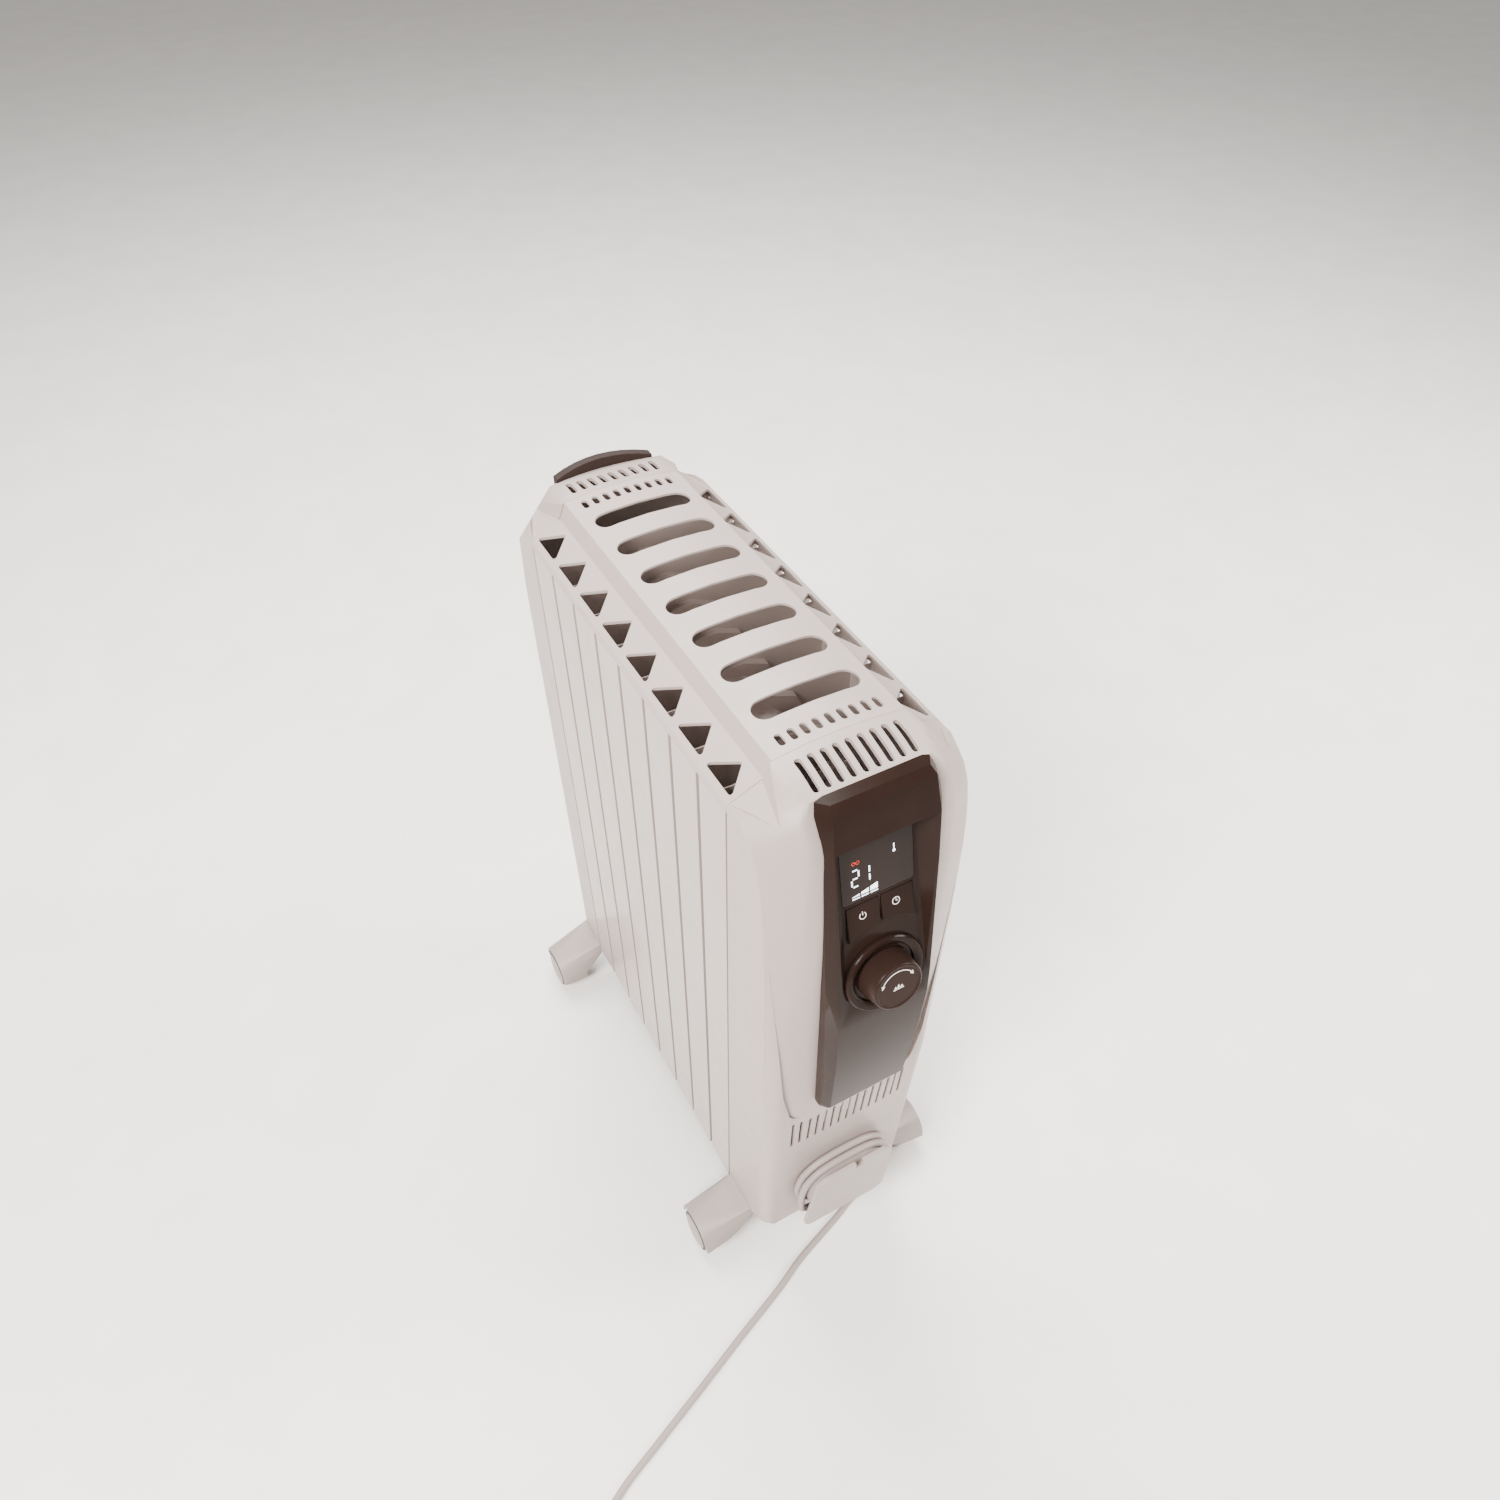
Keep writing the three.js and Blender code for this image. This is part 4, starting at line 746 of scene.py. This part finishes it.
class RADIATOR_OT_panel(bpy.types.Operator):
    """Finish the control panel with its window, display and buttons"""

    bl_idname = "radiator.panel"
    bl_label = "Control panel"

    SEGMENTS = {"a": ((0, 1), (1, 1)), "b": ((1, 0.5), (1, 1)), "c": ((1, 0), (1, 0.5)),
                "d": ((0, 0), (1, 0)), "e": ((0, 0), (0, 0.5)), "f": ((0, 0.5), (0, 1)),
                "g": ((0, 0.5), (1, 0.5))}
    DIGITS = {"0": "abcdef", "1": "bc", "2": "abged", "3": "abgcd", "4": "fgbc", "5": "afgcd", "6": "afgedc",
              "7": "abc", "8": "abcdefg", "9": "abcdfg"}

    def digit(self, shape, number, x, z, depth):
        width, height, gap = 5.6 * MM, 13.5 * MM, 0.9 * MM
        for key in self.DIGITS[number]:
            (x0, z0), (x1, z1) = self.SEGMENTS[key]
            a = Vector((x + x0 * width, z + z0 * height))
            b = Vector((x + x1 * width, z + z1 * height))
            trim = (b - a).normalized() * gap
            slab(shape, stroke([tuple(a + trim), tuple(b - trim)], 1.1 * MM), depth, MARK_THICKNESS, PANEL)

    def marks(self, context):
        white, red = bmesh.new(), bmesh.new()
        on_window = -0.04 * MM
        number = str(context.scene.radiator_look.shown_number)
        self.digit(white, number[0], -20.5 * MM, 87 * MM, on_window)
        self.digit(white, number[1], -12 * MM, 87 * MM, on_window)
        for i in range(3):
            x = (-21 + 7.2 * i) * MM
            low, high = (0.4 + 1.6 * i) * MM, (1.5 + 1.7 * i) * MM
            base = 78.5 * MM
            wedge = [(x, base), (x + 6 * MM, base), (x + 6 * MM, base + high), (x, base + low)]
            slab(white, wedge, on_window, MARK_THICKNESS, PANEL)
            bar = [(x, base - 2.2 * MM), (x + 6 * MM, base - 2.2 * MM), (x + 6 * MM, base - 1.3 * MM),
                   (x, base - 1.3 * MM)]
            slab(white, bar, on_window, MARK_THICKNESS, PANEL)
        thermometer = stroke([(13.5 * MM, 104.4 * MM), (13.5 * MM, 109.2 * MM)], 0.9 * MM)
        slab(white, thermometer, on_window, MARK_THICKNESS, PANEL)
        slab(white, arc(13.5 * MM, 103.4 * MM, 1.2 * MM, 0, 342, 18), on_window, MARK_THICKNESS, PANEL)
        for x in (-18.4, -15.2):
            for turn in range(0, 360, 45):
                ray = arc(x * MM, 106.2 * MM, 1.3 * MM, turn, turn + 20, 2)
                slab(red, stroke(ray, 0.5 * MM), on_window, MARK_THICKNESS, PANEL)
        new_piece("display_marks", white, FINISHES["white_light"], "heater", "window")
        new_piece("standby_mark", red, FINISHES["red_light"], "heater", "window")

    def execute(self, context):
        softened("bezel", "panel_bezel", FINISHES["bezel_gloss"], 0.8, crease=25, segments=3)
        softened("display_window", "window_pane", FINISHES["window"], 0.25)
        softened("knob_ring", "dial_ring", FINISHES["bezel_gloss"], 0.4)
        self.marks(context)
        for node, x in (("power_button", -14.6 * MM), ("timer_button", 12.6 * MM)):
            softened(node, node + "_key", FINISHES["bezel_gloss"], 0.5, segments=3)
            sign = bmesh.new()
            thin = PRINT_THICKNESS
            lean = Matrix.Rotation(math.atan2(-2.7, 30), 4, "X")
            on_key = PANEL @ Matrix.Translation((x, -1.42 * MM, 61 * MM)) @ lean
            if node == "power_button":
                slab(sign, stroke(arc(0, 0, 2.6 * MM, 125, 415, 26), 0.6 * MM), 0, thin, on_key)
                slab(sign, stroke([(0, 0.4 * MM), (0, 3.5 * MM)], 0.6 * MM), 0, thin, on_key)
            else:
                slab(sign, stroke(arc(0, 0, 2.9 * MM, 0, 359, 32), 0.6 * MM), 0, thin, on_key)
                hands = stroke([(0, 1.9 * MM), (0, 0), (1.5 * MM, 0)], 0.5 * MM)
                slab(sign, hands, 0, thin, on_key)
            new_piece(node + "_sign", sign, FINISHES["printing"], node, "pale_plastic")
        return {"FINISHED"}


class RADIATOR_OT_knob(bpy.types.Operator):
    """Make the knob with its printed arrows"""

    bl_idname = "radiator.knob"
    bl_label = "Knob"

    def execute(self, context):
        shape = bmesh.new()
        outward = PANEL @ facing((0, 0, 0), (0, -1, 0))
        base, face, rise = KNOB_BASE, KNOB_FACE, KNOB_RISE
        profile = [(0, KNOB_BORE_END), (KNOB_BORE, KNOB_BORE_END), (KNOB_BORE, 0.9 * MM),
                   (base - 1.6 * MM, 0.9 * MM), (base - 0.5 * MM, 1.3 * MM), (base, 2.4 * MM)]
        profile += [(face + 0.35 * MM, rise - 1.7 * MM), (face - 0.1 * MM, rise - 0.7 * MM),
                    (face - 0.9 * MM, rise), (face - 1.7 * MM, rise), (face - 2.3 * MM, rise - 0.2 * MM),
                    (face - 2.7 * MM, rise - 0.7 * MM), (0, rise - 0.75 * MM)]
        lathe(shape, profile, outward, 96)
        new_piece("dial_knob", shape, FINISHES["bezel_satin"], "knob", "bezel_gloss", "knob", crease=50)
        sign = bmesh.new()
        depth, thin = -(rise - 0.72 * MM), PRINT_THICKNESS
        reach = 14.2 * MM
        sweep = arc(0, 0, reach, 38, 152, 36)
        slab(sign, stroke(sweep, 0.7 * MM), depth, thin, PANEL)
        for angle, way in ((38, -1), (152, 1)):
            a = math.radians(angle)
            tip = Vector((math.cos(a + way * 0.24), math.sin(a + way * 0.24))) * reach
            spoke = Vector((math.cos(a), math.sin(a)))
            wings = [spoke * (reach + 1.6 * MM), spoke * (reach - 1.6 * MM)]
            slab(sign, [tuple(tip), *[tuple(w) for w in wings]], depth, thin, PANEL)
        for x, height in ((-2.6, 2.2), (0, 3.6), (2.6, 2.2)):
            peak = [(x - 1.2, -1), (x + 1.2, -1), (x + 0.2, -1 + height)]
            slab(sign, [(px * MM, pz * MM) for px, pz in peak], depth, thin, PANEL)
        slab(sign, stroke([(-4.4 * MM, -2 * MM), (4.4 * MM, -2 * MM)], 0.7 * MM), depth, thin, PANEL)
        new_piece("knob_sign", sign, FINISHES["printing"], "knob", "pale_plastic")
        return {"FINISHED"}


class RADIATOR_OT_feet(bpy.types.Operator):
    """Finish the brackets, wheels and axles"""

    bl_idname = "radiator.feet"
    bl_label = "Feet and wheels"

    def execute(self, context):
        for end in ("front", "rear"):
            softened(f"{end}_foot", f"{end}_bracket", FINISHES["grey_plastic"], 0.8)
            for hand in ("left", "right"):
                node = f"wheel_{end}_{hand}"
                self.wheel(node, -1 if hand == "left" else 1)
                softened(f"axle_{end}_{hand}", f"{end}_{hand}_axle_pin", FINISHES["steel"], 0.3)
        return {"FINISHED"}

    def wheel(self, node, side):
        low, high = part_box(node)
        centre = (low + high) / 2
        inner = low.x if side > 0 else high.x
        width = high.x - low.x - CAP_DOME
        r = (high.z - low.z) / 2
        bore, bore_end, hub = 3.7 * MM, width - 8 * MM, 7 * MM
        profile = [(0, bore_end), (bore, bore_end), (bore, 0), (hub, 0), (hub, 3 * MM),
                   (r - 6 * MM, 3 * MM), (r - 5 * MM, 0.4 * MM), (r - 3 * MM, 0), (r - 1.4 * MM, 0.5 * MM),
                   (r - 0.4 * MM, 1.6 * MM), (r, 3 * MM)]
        profile += [(r, width - 5 * MM), (r - 0.3 * MM, width - 3.2 * MM), (r - 1.2 * MM, width - 1 * MM),
                    (r - 2.4 * MM, width), (r - 3 * MM, width), (r - 3.2 * MM, width - 1.6 * MM),
                    (r - 4.4 * MM, width - 1.6 * MM), (r - 4.6 * MM, width + 0.4 * MM),
                    (r - 7 * MM, width + 1.6 * MM), (r - 12 * MM, width + 2.6 * MM), (0, width + CAP_DOME)]
        shape = bmesh.new()
        lathe(shape, profile, facing((inner, centre.y, centre.z), (side, 0, 0)), 96)
        grey = FINISHES["grey_plastic"]
        new_piece(node + "_moulding", shape, grey, node, "grey_plastic", node, crease=38)
        # A thin ring of painted shadow in the groove round the wheel's cap, standing in for the shade there.
        groove = bmesh.new()
        ring = [(r - 4.8 * MM, width - 1.4 * MM), (r - 2.1 * MM, width - 1.4 * MM),
                (r - 2.1 * MM, width + 0.2 * MM), (r - 4.8 * MM, width + 0.7 * MM)]
        lathe(groove, [*ring, ring[0]], facing((inner, centre.y, centre.z), (side, 0, 0)), 96)
        bmesh.ops.remove_doubles(groove, verts=groove.verts, dist=1e-6)
        new_piece(node + "_groove", groove, FINISHES["shadow_gap"], node, "dark_parts")


class RADIATOR_OT_wrap(bpy.types.Operator):
    """Finish the cord wrap"""

    bl_idname = "radiator.wrap"
    bl_label = "Cord wrap"

    def execute(self, context):
        softened("cord_wrap_core", "wrap_core", FINISHES["grey_plastic"], 0.5)
        softened("cord_wrap_plate", "wrap_plate", FINISHES["pale_plastic"], 1.1, segments=3)
        softened("cord_strain_relief", "strain_relief", FINISHES["cord"], 0.4)
        return {"FINISHED"}


class RADIATOR_OT_inside(bpy.types.Operator):
    """Finish what is inside the heater"""

    bl_idname = "radiator.inside"
    bl_label = "Inside"

    NODES = ("heating_element", "heater_flange", "thermal_cutout", "front_heat_shield", "rear_heat_shield",
             "power_board", "relay_1", "relay_2", "relay_3", "terminal_block", "transformer",
             "display_module", "control_board", "power_switch", "timer_switch", "encoder",
             "encoder_shaft", "room_sensor")

    def execute(self, context):
        for node in self.NODES:
            painted(node)
        return {"FINISHED"}


class RADIATOR_PT_panel(bpy.types.Panel):
    """Shows the heater's settings and its building steps in the sidebar"""

    bl_idname = "RADIATOR_PT_panel"
    bl_label = "Oil Filled Radiator"
    bl_space_type = "VIEW_3D"
    bl_region_type = "UI"
    bl_category = "Radiator"

    def draw(self, context):
        scene = context.scene
        for settings in (scene.radiator_look, scene.radiator_cord, scene.radiator_stage):
            for name in settings.bl_rna.properties.keys():
                if name not in ("rna_type", "name"):
                    self.layout.prop(settings, name)
        for operator in OPERATORS:
            self.layout.operator(operator.bl_idname)


SETTINGS = {"radiator_look": HeaterLook, "radiator_cord": HeaterCord, "radiator_stage": HeaterStage}
OPERATORS = (
    RADIATOR_OT_stage,
    RADIATOR_OT_cord,
    RADIATOR_OT_fins,
    RADIATOR_OT_casing,
    RADIATOR_OT_panel,
    RADIATOR_OT_knob,
    RADIATOR_OT_feet,
    RADIATOR_OT_wrap,
    RADIATOR_OT_inside,
)
CLASSES = (*SETTINGS.values(), *OPERATORS, RADIATOR_PT_panel)


def register():
    for cls in CLASSES:
        bpy.utils.register_class(cls)
    for name, cls in SETTINGS.items():
        setattr(bpy.types.Scene, name, PointerProperty(type=cls))


def unregister():
    for name in SETTINGS:
        delattr(bpy.types.Scene, name)
    for cls in reversed(CLASSES):
        bpy.utils.unregister_class(cls)


def main():
    register()
    FINISHES.update(make_finishes(bpy.context.scene.radiator_look))
    for operator in OPERATORS:
        group, name = operator.bl_idname.split(".")
        getattr(getattr(bpy.ops, group), name)()


if __name__ == "__main__":
    main()
